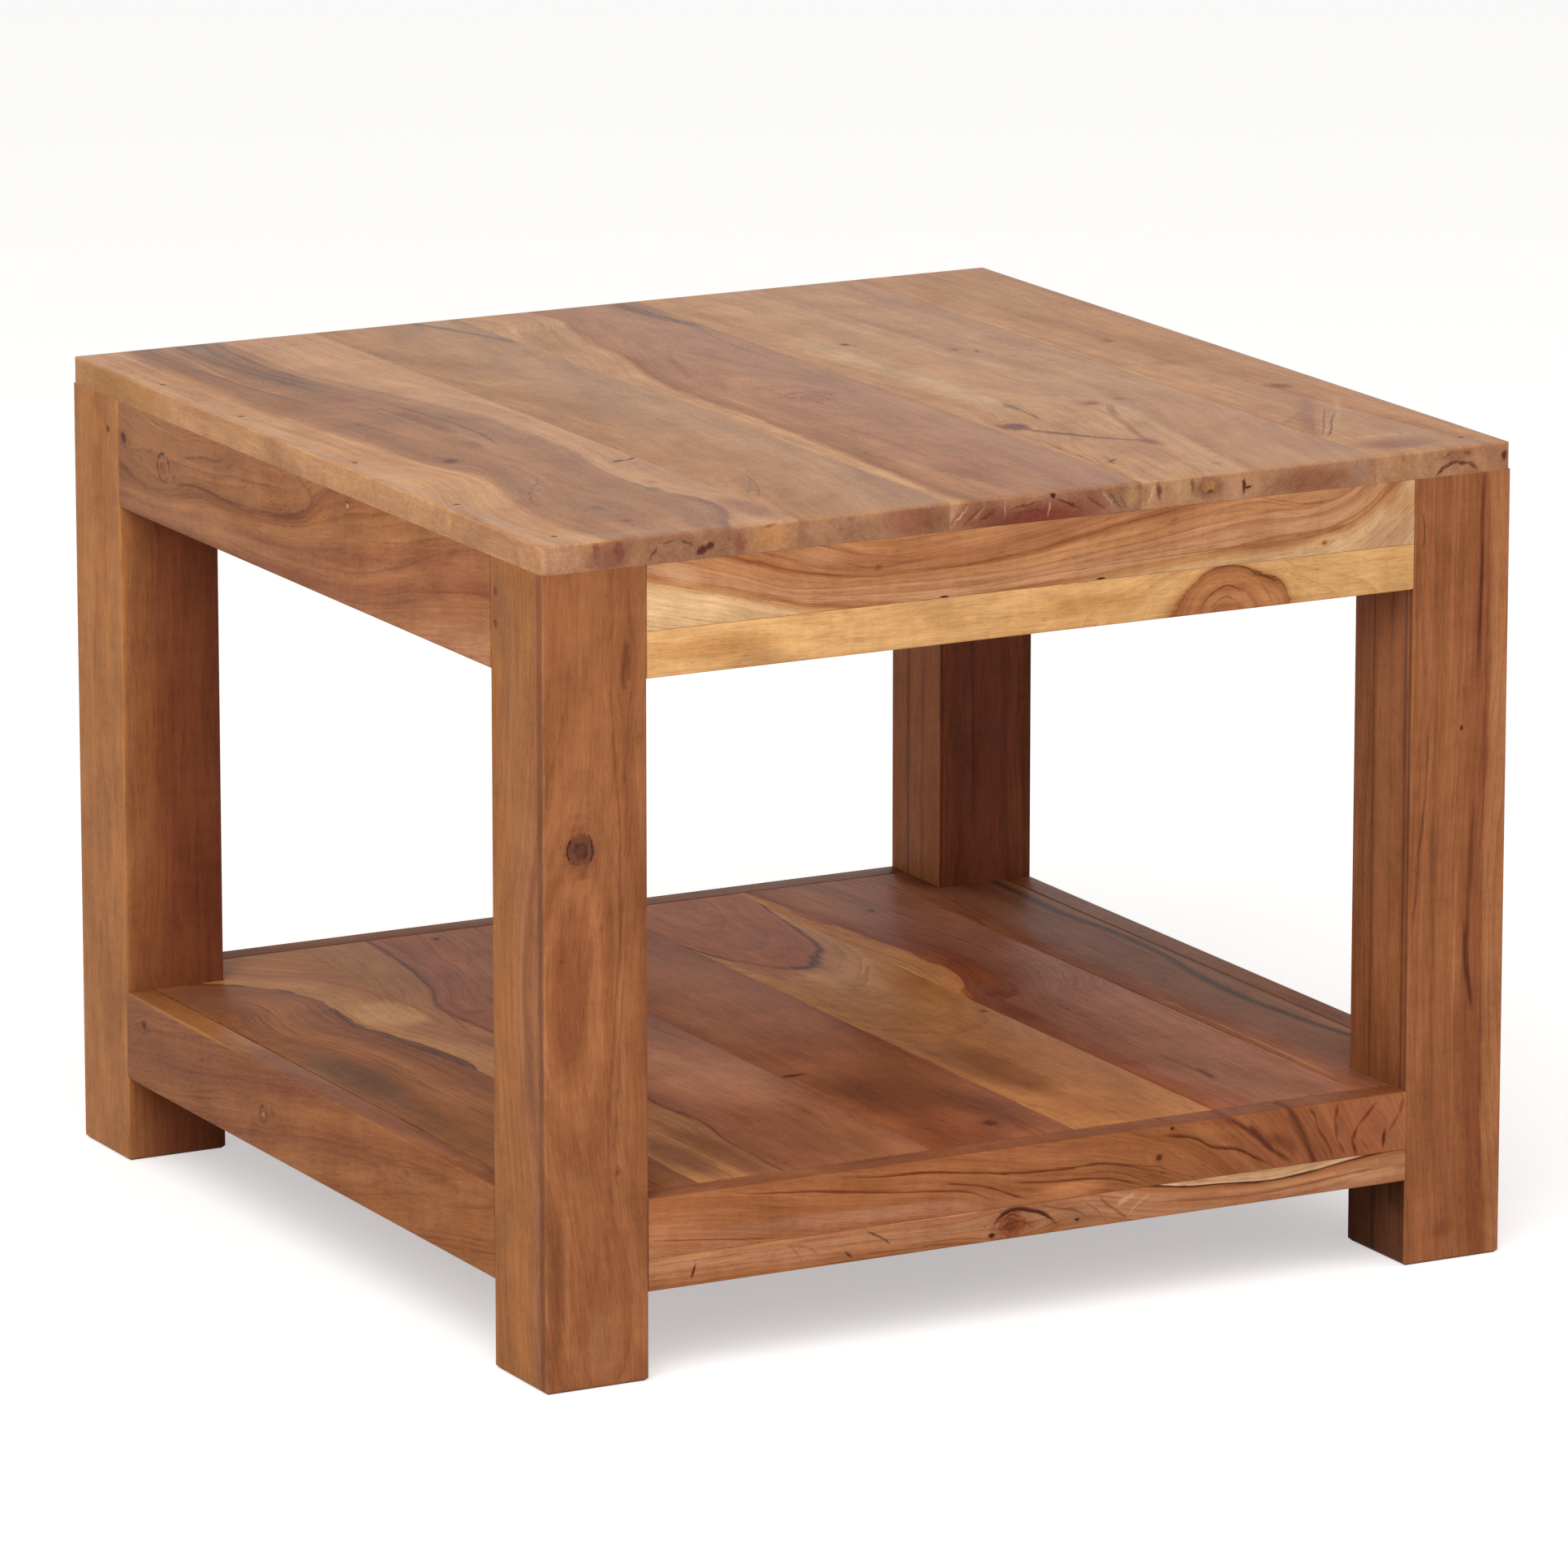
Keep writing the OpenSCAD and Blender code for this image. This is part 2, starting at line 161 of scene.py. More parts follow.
def make_growth():
    """Growth rings from the distance to the pith: each darkens slowly and ends sharply, and few are alike."""
    tree, g = new_group(
        "growth",
        {"Ring": "Float", "Along": "Float", "Spacing": "Float", "Seed": "Float"},
        {"Lines": "Float", "Bands": "Float"},
    )
    count = add(tree, "Math", [g["Ring"], g["Spacing"]], operation="DIVIDE")
    length = add(tree, "Math", [g["Along"], 150.0], operation="DIVIDE")
    place = add(tree, "CombineXYZ", [count, length, g["Seed"]])
    broad = add(tree, "TexNoise", {"Vector": place, "Scale": 0.35, "Detail": 1.0})
    fine = add(tree, "TexNoise", {"Vector": place, "Scale": 1.0, "Detail": 3.0, "Roughness": 0.6})
    phase = add(tree, "Math", [fine, 2.0, count], operation="MULTIPLY_ADD")
    year = add(tree, "Math", [phase], operation="FRACT")
    late = add(tree, "Math", [year, 3.0], operation="POWER")
    strong = add(tree, "MapRange", [broad, 0.40, 0.64, 0.1, 1], interpolation_type="SMOOTHSTEP")
    lines = add(tree, "Math", [late, strong], operation="MULTIPLY")
    add(tree, "GroupOutput", [lines, add(tree, "MapRange", [fine, 0.3, 0.7, -1, 1])])
    return tree


# Marks on a planed face: length and width in mm, and how far each shades the wood. The pores shade it by their depth
MARKS = {
    "cloud": (50, 26, 0.36), "streak": (55, 4.5, 0.20), "grain": (24, 1.7, 0.20), "fibre": (11, 0.7, 0.24),
    "ripple": (6, 14, 0.14), "pore": (4, 0.6, None),
}
FIBRE_RELIEF = (9, 0.7)  # mm long and wide, as the sander leaves them


def make_surface():
    """Fibres, pores, end grain and sanded edges over the drawn colour."""
    tree, g = new_group(
        "surface",
        {"Color": "Color", "Grain": "Vector", "Straight": "Vector", "End": "Float", "Edge": "Float", "Seed": "Float"},
        {"Color": "Color", "Roughness": "Float", "Height": "Float"},
    )
    here = add(tree, "VectorMath", [g["Grain"], g["Seed"]], operation="ADD")
    noise, shade = {}, None
    for name, (length, width, weight) in MARKS.items():
        spread = add(tree, "VectorMath", [here, (1 / length, 1 / width, 1 / width)], operation="MULTIPLY")
        noise[name] = add(tree, "TexNoise", {
            "Vector": spread, "Scale": 1.0, "Detail": 1.0 if name == "pore" else 2.5, "Distortion": 0.3,
        })
        if weight:
            part = add(tree, "MapRange", [noise[name], 0, 1, -weight, weight])
            shade = add(tree, "Math", [shade, part], operation="ADD") if shade else part
    pores = add(tree, "MapRange", [noise["pore"], 0.60, 0.72, 0, 1], interpolation_type="SMOOTHSTEP")
    for mask, change in ((pores, -0.22), (g["End"], -0.17), (g["Edge"], 0.10)):
        shade = add(tree, "Math", [mask, change, shade], operation="MULTIPLY_ADD")
    level = add(tree, "Math", [shade, 1.0], operation="ADD")
    # Darker wood is also redder: each channel falls by its own power of the level
    powers = [add(tree, "Math", [level, power], operation="POWER") for power in (0.85, 1.05, 1.2)]
    toned = add(tree, "VectorMath", [g["Color"], add(tree, "CombineXYZ", powers)], operation="MULTIPLY")
    rough = add(tree, "Math", [noise["fibre"], 0.14, 0.40], operation="MULTIPLY_ADD")
    rough = add(tree, "Math", [pores, 0.15, rough], operation="MULTIPLY_ADD")
    # The relief has plain straight fibres of its own, which the eye can't tell from the swung ones
    long, wide = FIBRE_RELIEF
    relief = add(tree, "VectorMath", [g["Straight"], (1 / long, 1 / wide, 1 / wide)], operation="MULTIPLY")
    add(tree, "GroupOutput", [toned, rough, add(tree, "TexNoise", {"Vector": relief, "Scale": 1.0, "Detail": 1.0})])
    return tree


KNOT, STREAK, PATCH, GROWTH, SURFACE = make_knot(), make_streak(), make_patch(), make_growth(), make_surface()

# Tones of oiled acacia, from sapwood to the darkest heartwood
SAP = "#d6a26a"
SAP_DEEP = "#c48c54"
HONEY = "#bf8757"
TAN = "#b1774c"
ROSE = "#b27953"
WHEAT = "#a6754d"
BISCUIT = "#a3704a"
BROWN = "#a0653e"
HEART = "#915733"
RED = "#84482c"
CHESTNUT = "#7a4329"
CEDAR = "#70422c"
RUSSET = "#70341c"
BARK = "#6a2f20"
UMBER = "#5e301c"
INK = "#3d1f12"
# Lighter tones of the tabletop, which has seen the most sanding
OAT = "#c08652"
FAWN = "#b57d4f"
CLAY = "#ab744a"
MINK = "#9e6741"
DUSK = "#835a3f"
SHELL = "#c49a70"
# What late wood multiplies its board's tone by, and what sawn ends lean towards
LATE_WOOD = "#b08672"
END_GRAIN = "#b0836a"


def acacia(name, grain, face, zones, guides=((0, 0),), depth=40.0, by_ring=False, knots=(), streaks=(), patches=(),
           ends=(), spacing=5.0, lines=0.6, bands=0.10, wander=4.0, feather=1.5, gloss=0.2, seed=1.0):
    """Solid acacia, planed, sanded and oiled: satin, with the figure of one sawn board.

    grain names the axes along the grain, across it and through the board, and face is the place of the drawn face
    and the direction into the wood. guides are pairs of a distance from the pith and a line that keeps it, and
    depth is how far the pith lies under the face. zones are tones by that distance, on the face or by ring.
    knots: along, across, radius, swing of the fibres, tone. streaks: points, softness of the low and the high side,
    tone, amount, and the least and most depth where a line lies on a side. patches, and ends on the end grain:
    along, across, length, width, turn, tone, amount.
    """
    material = bpy.data.materials.new(name)
    tree = blank(material)
    place = add(tree, "TexCoord")
    mm = add(tree, "VectorMath", {"Vector": place.outputs["Object"], "Scale": 1000}, operation="SCALE")
    xyz = add(tree, "SeparateXYZ", [mm])
    below = add(tree, "Math", [xyz.outputs[grain[2]], face[0]], operation="SUBTRACT")
    below = add(tree, "Math", [below, face[1]], operation="MULTIPLY")
    straight = add(tree, "CombineXYZ", [xyz.outputs[grain[0]], xyz.outputs[grain[1]], below])

    # No board is ruled straight: its lines wander a few millimetres from what is drawn
    slow = add(tree, "VectorMath", [straight, (1 / 80, 1 / 26, 1 / 26)], operation="MULTIPLY")
    slow = add(tree, "VectorMath", [slow, (seed * 7.3, seed * 3.1, seed * 5.7)], operation="ADD")
    drift = add(tree, "TexNoise", {"Vector": slow, "Scale": 1.0, "Detail": 2.5, "Roughness": 0.45})
    drift = add(tree, "VectorMath", [drift.outputs["Color"], (0.5, 0.5, 0.5)], operation="SUBTRACT")
    drift = add(tree, "VectorMath", [drift, (0, 2 * wander, 2 * wander)], operation="MULTIPLY")
    bent = add(tree, "VectorMath", [straight, drift], operation="ADD")
    # What is drawn keeps its place where the fibres swing round a knot
    drawn = add(tree, "VectorMath", [drift, (0.35, 0.35, 0.35), straight], operation="MULTIPLY_ADD")
    cores = []
    for along, across, radius, swing, tone in knots:
        knot = add(tree, "Group", [bent, (along, across, 0), radius, swing], node_tree=KNOT)
        bent = knot.outputs["Grain"]
        cores.append((knot, tone))

    # Distance from the pith: across the grain by the guides, which run side by side, and down by its depth
    along, across, down = add(tree, "SeparateXYZ", [bent]).outputs
    kept, pith = [], depth
    for value, line in guides:
        kept.append((value, add(tree, "FloatCurve", {"Value": along}, line) if isinstance(line, list) else line))
    if isinstance(depth, list):
        pith = add(tree, "FloatCurve", {"Value": along}, depth)
    first = add(tree, "Math", [across, kept[0][1]], operation="SUBTRACT")
    last = add(tree, "Math", [across, kept[-1][1]], operation="SUBTRACT")
    before = add(tree, "Math", [first, 0], operation="MINIMUM")
    after = add(tree, "Math", [last, 0], operation="MAXIMUM")
    aside = add(tree, "Math", [before, after], operation="ADD")
    aside = add(tree, "Math", [aside, kept[0][0]], operation="ADD")
    for (low, line), (high, next_line) in zip(kept, kept[1:]):
        step = add(tree, "MapRange", [across, line, next_line, 0, high - low])
        aside = add(tree, "Math", [aside, step], operation="ADD")
    deep = add(tree, "Math", [down, pith], operation="ADD")
    ring = add(tree, "VectorMath", [add(tree, "CombineXYZ", [aside, deep])], operation="LENGTH")

    # Where the same ring meets the drawn face
    squares = add(tree, "Math", [ring, ring], operation="MULTIPLY")
    under = add(tree, "Math", [pith, pith], operation="MULTIPLY")
    beyond = add(tree, "Math", [squares, under], operation="SUBTRACT")
    beyond = add(tree, "Math", [beyond, 0], operation="MAXIMUM")
    beyond = add(tree, "Math", [beyond, 0.5], operation="POWER")
    side = add(tree, "Math", [aside], operation="SIGN")
    on_face = add(tree, "Math", [beyond, side], operation="MULTIPLY")

    fibres = add(tree, "CombineXYZ", [along, aside, down])
    fine = add(tree, "VectorMath", [fibres, (1 / 28, 1 / 1.6, 1 / 1.6)], operation="MULTIPLY")
    fine = add(tree, "TexNoise", {"Vector": fine, "Scale": 1.0, "Detail": 2.0})
    ragged = add(tree, "MapRange", [fine, 0, 1, -feather * 2, feather * 2])
    zone_place = add(tree, "Math", [ring if by_ring else on_face, ragged], operation="ADD")
    low, high = zones[0][0], zones[-1][0]
    ramp = add(tree, "ValToRGB", [add(tree, "MapRange", [zone_place, low, high, 0, 1])])
    stops = ramp.color_ramp.elements
    while len(stops) < len(zones):
        stops.new(0.5)
    # All the places first, because a stop that moves may change its turn among the others
    for stop, (where, tone) in zip(stops, zones):
        stop.position = (where - low) / (high - low)
    for stop, (where, tone) in zip(stops, zones):
        stop.color = linear(tone)

    growth = add(tree, "Group", [ring, along, spacing, seed * 13.7], node_tree=GROWTH)
    shade = add(tree, "Math", [growth.outputs["Bands"], bands], operation="MULTIPLY")
    shade = add(tree, "Math", [shade, 1], operation="ADD")
    color = add(tree, "VectorMath", {"Vector": ramp, "Scale": shade}, operation="SCALE")
    strength = add(tree, "Math", [growth.outputs["Lines"], lines], operation="MULTIPLY")
    late = {"Factor": strength, "A": color, "B": linear(LATE_WOOD)}
    color = add(tree, "Mix", late, data_type="RGBA", blend_type="MULTIPLY")

    # Over the rings' colour, in this order: knots, patches, streaks and the end grain
    layers = []
    for knot, tone in cores:
        size = knot.outputs["Ring"]
        halo = add(tree, "MapRange", [size, 0.9, 2.2, 0.3, 0], interpolation_type="SMOOTHSTEP")
        rings = add(tree, "Math", [size, 11.0], operation="MULTIPLY")
        rings = add(tree, "Math", [rings], operation="SINE")
        rings = add(tree, "MapRange", [rings, -1, 1, 0.85, 1.25])
        heart = add(tree, "MapRange", [size, 0.1, 0.6, 0.8, 1.1])
        level = add(tree, "Math", [rings, heart], operation="MULTIPLY")
        inner = add(tree, "VectorMath", {"Vector": linear(tone)[:3], "Scale": level}, operation="SCALE")
        layers += [(halo, linear(tone)), (knot.outputs["Core"], inner)]

    def ovals(marks, where):
        """Soft patches on a face, each as its mask and its tone."""
        for u, v, length, width, turn, tone, amount in marks:
            spread = (0, 0, math.radians(turn)), (length, width, 1)
            patch = add(tree, "Group", [where, (u, v, 0), *spread, 0.25], node_tree=PATCH)
            yield add(tree, "Math", [patch, amount], operation="MULTIPLY"), linear(tone)

    layers += ovals(patches, drawn)
    if streaks:
        sketch = add(tree, "SeparateXYZ", [drawn]).outputs
        beside = add(tree, "Math", [ragged, 0.6, sketch["Y"]], operation="MULTIPLY_ADD")
    for points, low, high, tone, amount, *limits in streaks:
        line = add(tree, "FloatCurve", {"Value": sketch["X"]}, points)
        start, stop = min(points)[0], max(points)[0]
        fade = (stop - start) * 0.2
        weight = add(tree, "Group", [beside, sketch["X"], line, start, stop, low, high, fade], node_tree=STREAK)
        weight = add(tree, "Math", [weight, amount], operation="MULTIPLY")
        for limit, way in zip(limits, (1, -1)):
            layer = [sketch["Z"], limit - way, limit + way, 0, 1]
            inside = add(tree, "MapRange", layer, interpolation_type="SMOOTHSTEP")
            weight = add(tree, "Math", [weight, inside], operation="MULTIPLY")
        layers.append((weight, linear(tone)))
    facing = add(tree, "VectorMath", [place.outputs["Normal"]], operation="ABSOLUTE")
    facing = add(tree, "SeparateXYZ", [facing]).outputs
    end = add(tree, "MapRange", [facing[grain[0]], 0.6, 0.95, 0, 1])
    layers.append((add(tree, "Math", [end, 0.35], operation="MULTIPLY"), linear(END_GRAIN)))
    if ends:
        spot = add(tree, "SeparateXYZ", [straight])
        spot = add(tree, "CombineXYZ", [spot.outputs["Y"], xyz.outputs[grain[2]], 0])
        uneven = add(tree, "TexNoise", {"Vector": spot, "Scale": 0.35, "Detail": 2.0})
        uneven = add(tree, "VectorMath", [uneven.outputs["Color"], (0.5, 0.5, 0.5)], operation="SUBTRACT")
        spot = add(tree, "VectorMath", [uneven, (3, 3, 0), spot], operation="MULTIPLY_ADD")
        for weight, tone in ovals(ends, spot):
            layers.append((add(tree, "Math", [weight, end], operation="MULTIPLY"), tone))
    for weight, tone in layers:
        color = add(tree, "Mix", {"Factor": weight, "A": color, "B": tone}, data_type="RGBA")

    # The rounded edges are sanded paler
    square = add(tree, "Math", [facing["X"], facing["Y"]], operation="MAXIMUM")
    square = add(tree, "Math", [square, facing["Z"]], operation="MAXIMUM")
    edge = add(tree, "MapRange", [square, 0.98, 0.8, 0, 1])
    finish = add(tree, "Group", [color, fibres, straight, end, edge, seed * 31], node_tree=SURFACE).outputs
    bump = add(tree, "Bump", {"Strength": 0.35, "Distance": 0.00012, "Height": finish["Height"]})
    shader = add(tree, "BsdfPrincipled", {
        "Base Color": finish["Color"], "Roughness": finish["Roughness"], "IOR": 1.5, "Specular IOR Level": gloss,
        "Normal": bump,
    })
    add(tree, "OutputMaterial", {"Surface": shader})
    return material


EASE = 0.00035  # m, sandpaper's rounding on every sawn edge
JOINED = 1e-5  # m, corners closer than this are one
FLAT, SMOOTH, SHARP = math.radians(1), math.radians(40), math.radians(50)
ARCS = 8


def finish_piece(piece, material, nodes):
    """Puts a finished mesh in the place of its CAD bodies."""
    piece.data.materials.clear()
    piece.data.materials.append(material)
    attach(piece, "root")
    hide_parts(*nodes)


def ringed(along, across, radius, tone, amount):
    """Patches that draw the dark line round a knot, not quite closed and not quite even."""
    turns = [math.radians(360 / ARCS * k + 9 * math.sin(2.6 * k)) for k in range(ARCS)]
    return [(along + radius * math.cos(t), across + radius * math.sin(t), 0.55 * radius, 1.5, math.degrees(t) + 90,
             tone, amount * (0.75 + 0.25 * math.cos(t - 0.7))) for t in turns]


def wear(node, material):
    """A wooden piece: its solid with every sharp edge eased by hand sanding."""
    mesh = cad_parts[node].data.copy()
    shape = bmesh.new()
    shape.from_mesh(mesh)
    bmesh.ops.remove_doubles(shape, verts=shape.verts, dist=JOINED)
    bmesh.ops.dissolve_limit(shape, angle_limit=FLAT, verts=shape.verts, edges=shape.edges)
    sharp = [e for e in shape.edges if len(e.link_faces) == 2 and e.calc_face_angle() > SHARP]
    bmesh.ops.bevel(shape, geom=sharp, offset=EASE, segments=2, profile=0.5, affect="EDGES", clamp_overlap=True)
    for face in shape.faces:
        face.smooth = True
    for edge in shape.edges:
        edge.smooth = len(edge.link_faces) == 2 and edge.calc_face_angle() < SMOOTH
    shape.to_mesh(mesh)
    shape.free()
    piece = bpy.data.objects.new("wood_" + node, mesh)
    scene.collection.objects.link(piece)
    finish_piece(piece, material, [node])


# Tabletop: grain from back to front, drawn on the upper face. Points are (Y, X)

TOP_FACE = (TOP, -1)

# Redder heartwood between two pale edges, a chain of knots, and a smoky vein towards the back
wear("top_board_1", acacia(
    "oiled_acacia_top_1", "YXZ", TOP_FACE, seed=1.0, spacing=4.5, lines=0.2, bands=0.12, wander=2.0,
    feather=2.0,
    guides=[
        (-35, [(-285, -254), (-250, -258), (-220, -258), (-190, -254), (-170, -249), (-150, -243),
               (-130, -238), (-110, -236), (-95, -238), (-75, -244), (-50, -251), (0, -254), (50, -259),
               (100, -262), (285, -262)]),
        (35, [(-285, -178), (-270, -175), (-255, -168), (-240, -163), (-220, -162), (-205, -166),
              (-190, -172), (-170, -175), (-140, -174), (-115, -171), (-90, -166), (-50, -162), (0, -163),
              (20, -164), (45, -167), (70, -172), (90, -178), (110, -182), (130, -187), (160, -195),
              (200, -200), (240, -200), (285, -200)]),
    ],
    depth=-17.0,
    zones=[
        (-60, "#c18b5e"), (-38, "#c18b5e"), (-35, FAWN), (-32, BISCUIT), (-24, "#966340"), (-14, BISCUIT),
        (-2, "#9a6744"), (10, BISCUIT), (22, "#966340"), (30, BISCUIT), (34.2, "#a06c48"), (35.6, "#b9845a"),
        (42, "#be895b"), (70, "#be895b"),
    ],
    knots=[
        (-70, -233, 4, 24, UMBER), (-214, -220, 3, 26, "#6e4229"), (-251, -221, 2.6, 14, RED),
        (-169, -166, 2.5, 10, BROWN),
    ],
    streaks=[
        ([(60, -235), (140, -240), (200, -247), (250, -248), (360, -248)], 14, 12, "#80543a", 0.6),
        ([(90, -208), (130, -213), (170, -218), (210, -221), (260, -220), (360, -216)], 17, 15, "#6f4f3e",
         0.6),
        ([(120, -210), (150, -216), (190, -223), (230, -228), (270, -228), (360, -224)], 3.5, 3, "#543828",
         0.5),
        ([(130, -206), (160, -211), (200, -217), (240, -219), (290, -213), (360, -208)], 2.5, 3, "#543828",
         0.5), ([(150, -202), (190, -208), (240, -209), (300, -203), (360, -200)], 2.4, 2, "#583c2c", 0.6),
        ([(110, -236), (160, -241), (210, -246), (260, -247), (360, -242)], 2.5, 2, "#6a4632", 0.5),
        ([(100, -230), (125, -233), (155, -239), (195, -242), (235, -239), (290, -236), (360, -234)], 1.2,
         1.8, OAT, 0.8), ([(140, -227), (190, -234), (240, -234), (360, -230)], 0.8, 1.2, FAWN, 0.5),
        ([(-12, -198), (10, -199), (30, -199), (70, -203)], 5, 8, "#7d4526", 0.8),
        ([(-52, -196), (-38, -191), (-22, -188), (-5, -186.5), (12, -186.5), (40, -189), (90, -195)], 1.6,
         1.1, "#5c3a28", 0.9),
        ([(-10, -201), (20, -202.5), (50, -203), (90, -205)], 1.4, 1.4, "#6a3a22", 0.6),
        ([(-50, -200), (-30, -209), (0, -211), (50, -211), (90, -210)], 2, 5, "#84623e", 0.5),
        ([(95, -257), (155, -257)], 1.8, 1.8, RED, 0.5),
        ([(-205, -246), (-185, -243), (-170, -237), (-155, -228), (-142, -218), (-130, -213), (-112, -213)],
         0.9, 0.9, "#6a452e", 0.75),
        ([(-300, -186), (-282, -180), (-265, -171), (-243, -163), (-225, -163), (-200, -168)], 6, 3.5,
         "#7d4630", 0.75), ([(-250, -146), (-220, -141), (-195, -150)], 1.4, 1.4, MINK, 0.6),
        ([(-240, -138), (-205, -128)], 2, 2, MINK, 0.45),
    ],
    patches=[
        (-112, -155, 5.5, 3.4, 70, "#633018", 1.3), (-110, -146.5, 7.5, 1.9, 57, "#6e3820", 1.3),
        (-119, -150, 6, 5, 0, "#a8674a", 0.5), (-185, -172, 9, 6, 0, "#76553a", 0.7),
        (-175, -174, 14, 2.2, 0, "#7a5c46", 0.6), (262, -168, 5, 4.5, 0, "#94552f", 0.6),
        (-225, -212, 20, 15, 0, DUSK, 0.3), (-252, -150, 44, 16, 0, "#99603a", 0.9),
        (-36, -203, 14, 7, 10, "#7c4f35", 0.6), (108, -212, 22, 6, -8, "#8a4e3a", 0.6),
        (-150, -232, 34, 12, 0, "#927050", 0.4), (-218, -225, 40, 20, 0, "#8f6c4c", 0.3),
        (190, -156, 120, 24, 0, "#c48a4e", 0.45), (230, -291, 80, 5, 0, "#b07840", 0.9),
    ],
    ends=[
        (-279, 443, 14, 11, 0, "#cd9a78", 0.8), (-253, 442, 19, 13, 0, "#88503a", 0.8),
        (-259, 445, 3.0, 8, 4, "#7c4030", 0.8), (-246, 444, 4.4, 9, 8, "#7c4030", 0.8),
        (-258, 440, 5, 8, 0, "#8d6b58", 0.4), (-226, 441, 6, 1.1, 55, CEDAR, 0.9),
        (-217, 446, 6.5, 1.1, 12, CEDAR, 0.8), (-207, 444.5, 6.5, 1.1, -28, CEDAR, 0.8),
        (-198, 439.5, 5.4, 3.2, 25, "#642c1e", 1.2), (-193.5, 441.5, 3.4, 2.8, 40, "#642c1e", 1.1),
        (-176, 441, 5, 9, 0, "#96543a", 0.7), (-157, 442, 16, 9, 0, OAT, 1.0),
        (-157, 449, 8, 1.3, 15, "#74402a", 0.7),
    ],
))

# The quiet board: even honey tones between two figured neighbours
wear("top_board_2", acacia(
    "oiled_acacia_top_2", "YXZ", TOP_FACE, seed=2.0, spacing=6.0, lines=0.17, bands=0.12,
    guides=[(0, [(-285, -124), (-200, -112), (-150, -104), (0, -98), (160, -104), (285, -98)])],
    depth=[(-285, 60), (100, 52), (200, 34), (285, 26)],
    zones=[(-60, WHEAT), (-25, "#ae7c53"), (0, WHEAT), (30, "#b07e55"), (60, WHEAT)],
    knots=[(211, -100, 2, 14, MINK)],
    streaks=[
        ([(198, -52), (215, -55), (235, -61), (270, -73), (284, -79), (300, -86)], 5, 3.4, "#634632", 0.85),
        ([(200, -55), (340, -50)], 14, 8, "#7d6048", 0.4),
        ([(110, -94), (140, -103), (170, -112), (200, -116)], 2.5, 2.5, MINK, 0.3),
        ([(-285, -140), (-200, -122), (-150, -108)], 5, 4, MINK, 0.4),
        ([(-285, -104), (-180, -84), (-100, -74)], 6, 4, MINK, 0.4),
        ([(-285, -75), (-220, -62)], 6, 4, RED, 0.2),
        ([(-236, -138), (-215, -126), (-195, -118), (-170, -110)], 1.0, 1.4, "#7d5236", 0.7),
        ([(-222, -137), (-200, -123), (-182, -114)], 0.8, 1.0, "#7d5236", 0.6),
    ],
    patches=[
        (40, -78, 110, 20, 0, SHELL, 0.18), (-130, -100, 60, 50, 0, MINK, 0.3),
        (-240, -95, 60, 50, 0, "#9a6a4c", 0.35),
    ],
    ends=[
        (-111, 447, 3.5, 2.5, 0, RED, 0.6), (-112, 442, 22, 10, 0, "#ab7a60", 0.5),
        (-74, 443, 26, 13, 0, "#985a42", 0.8),
    ],
))

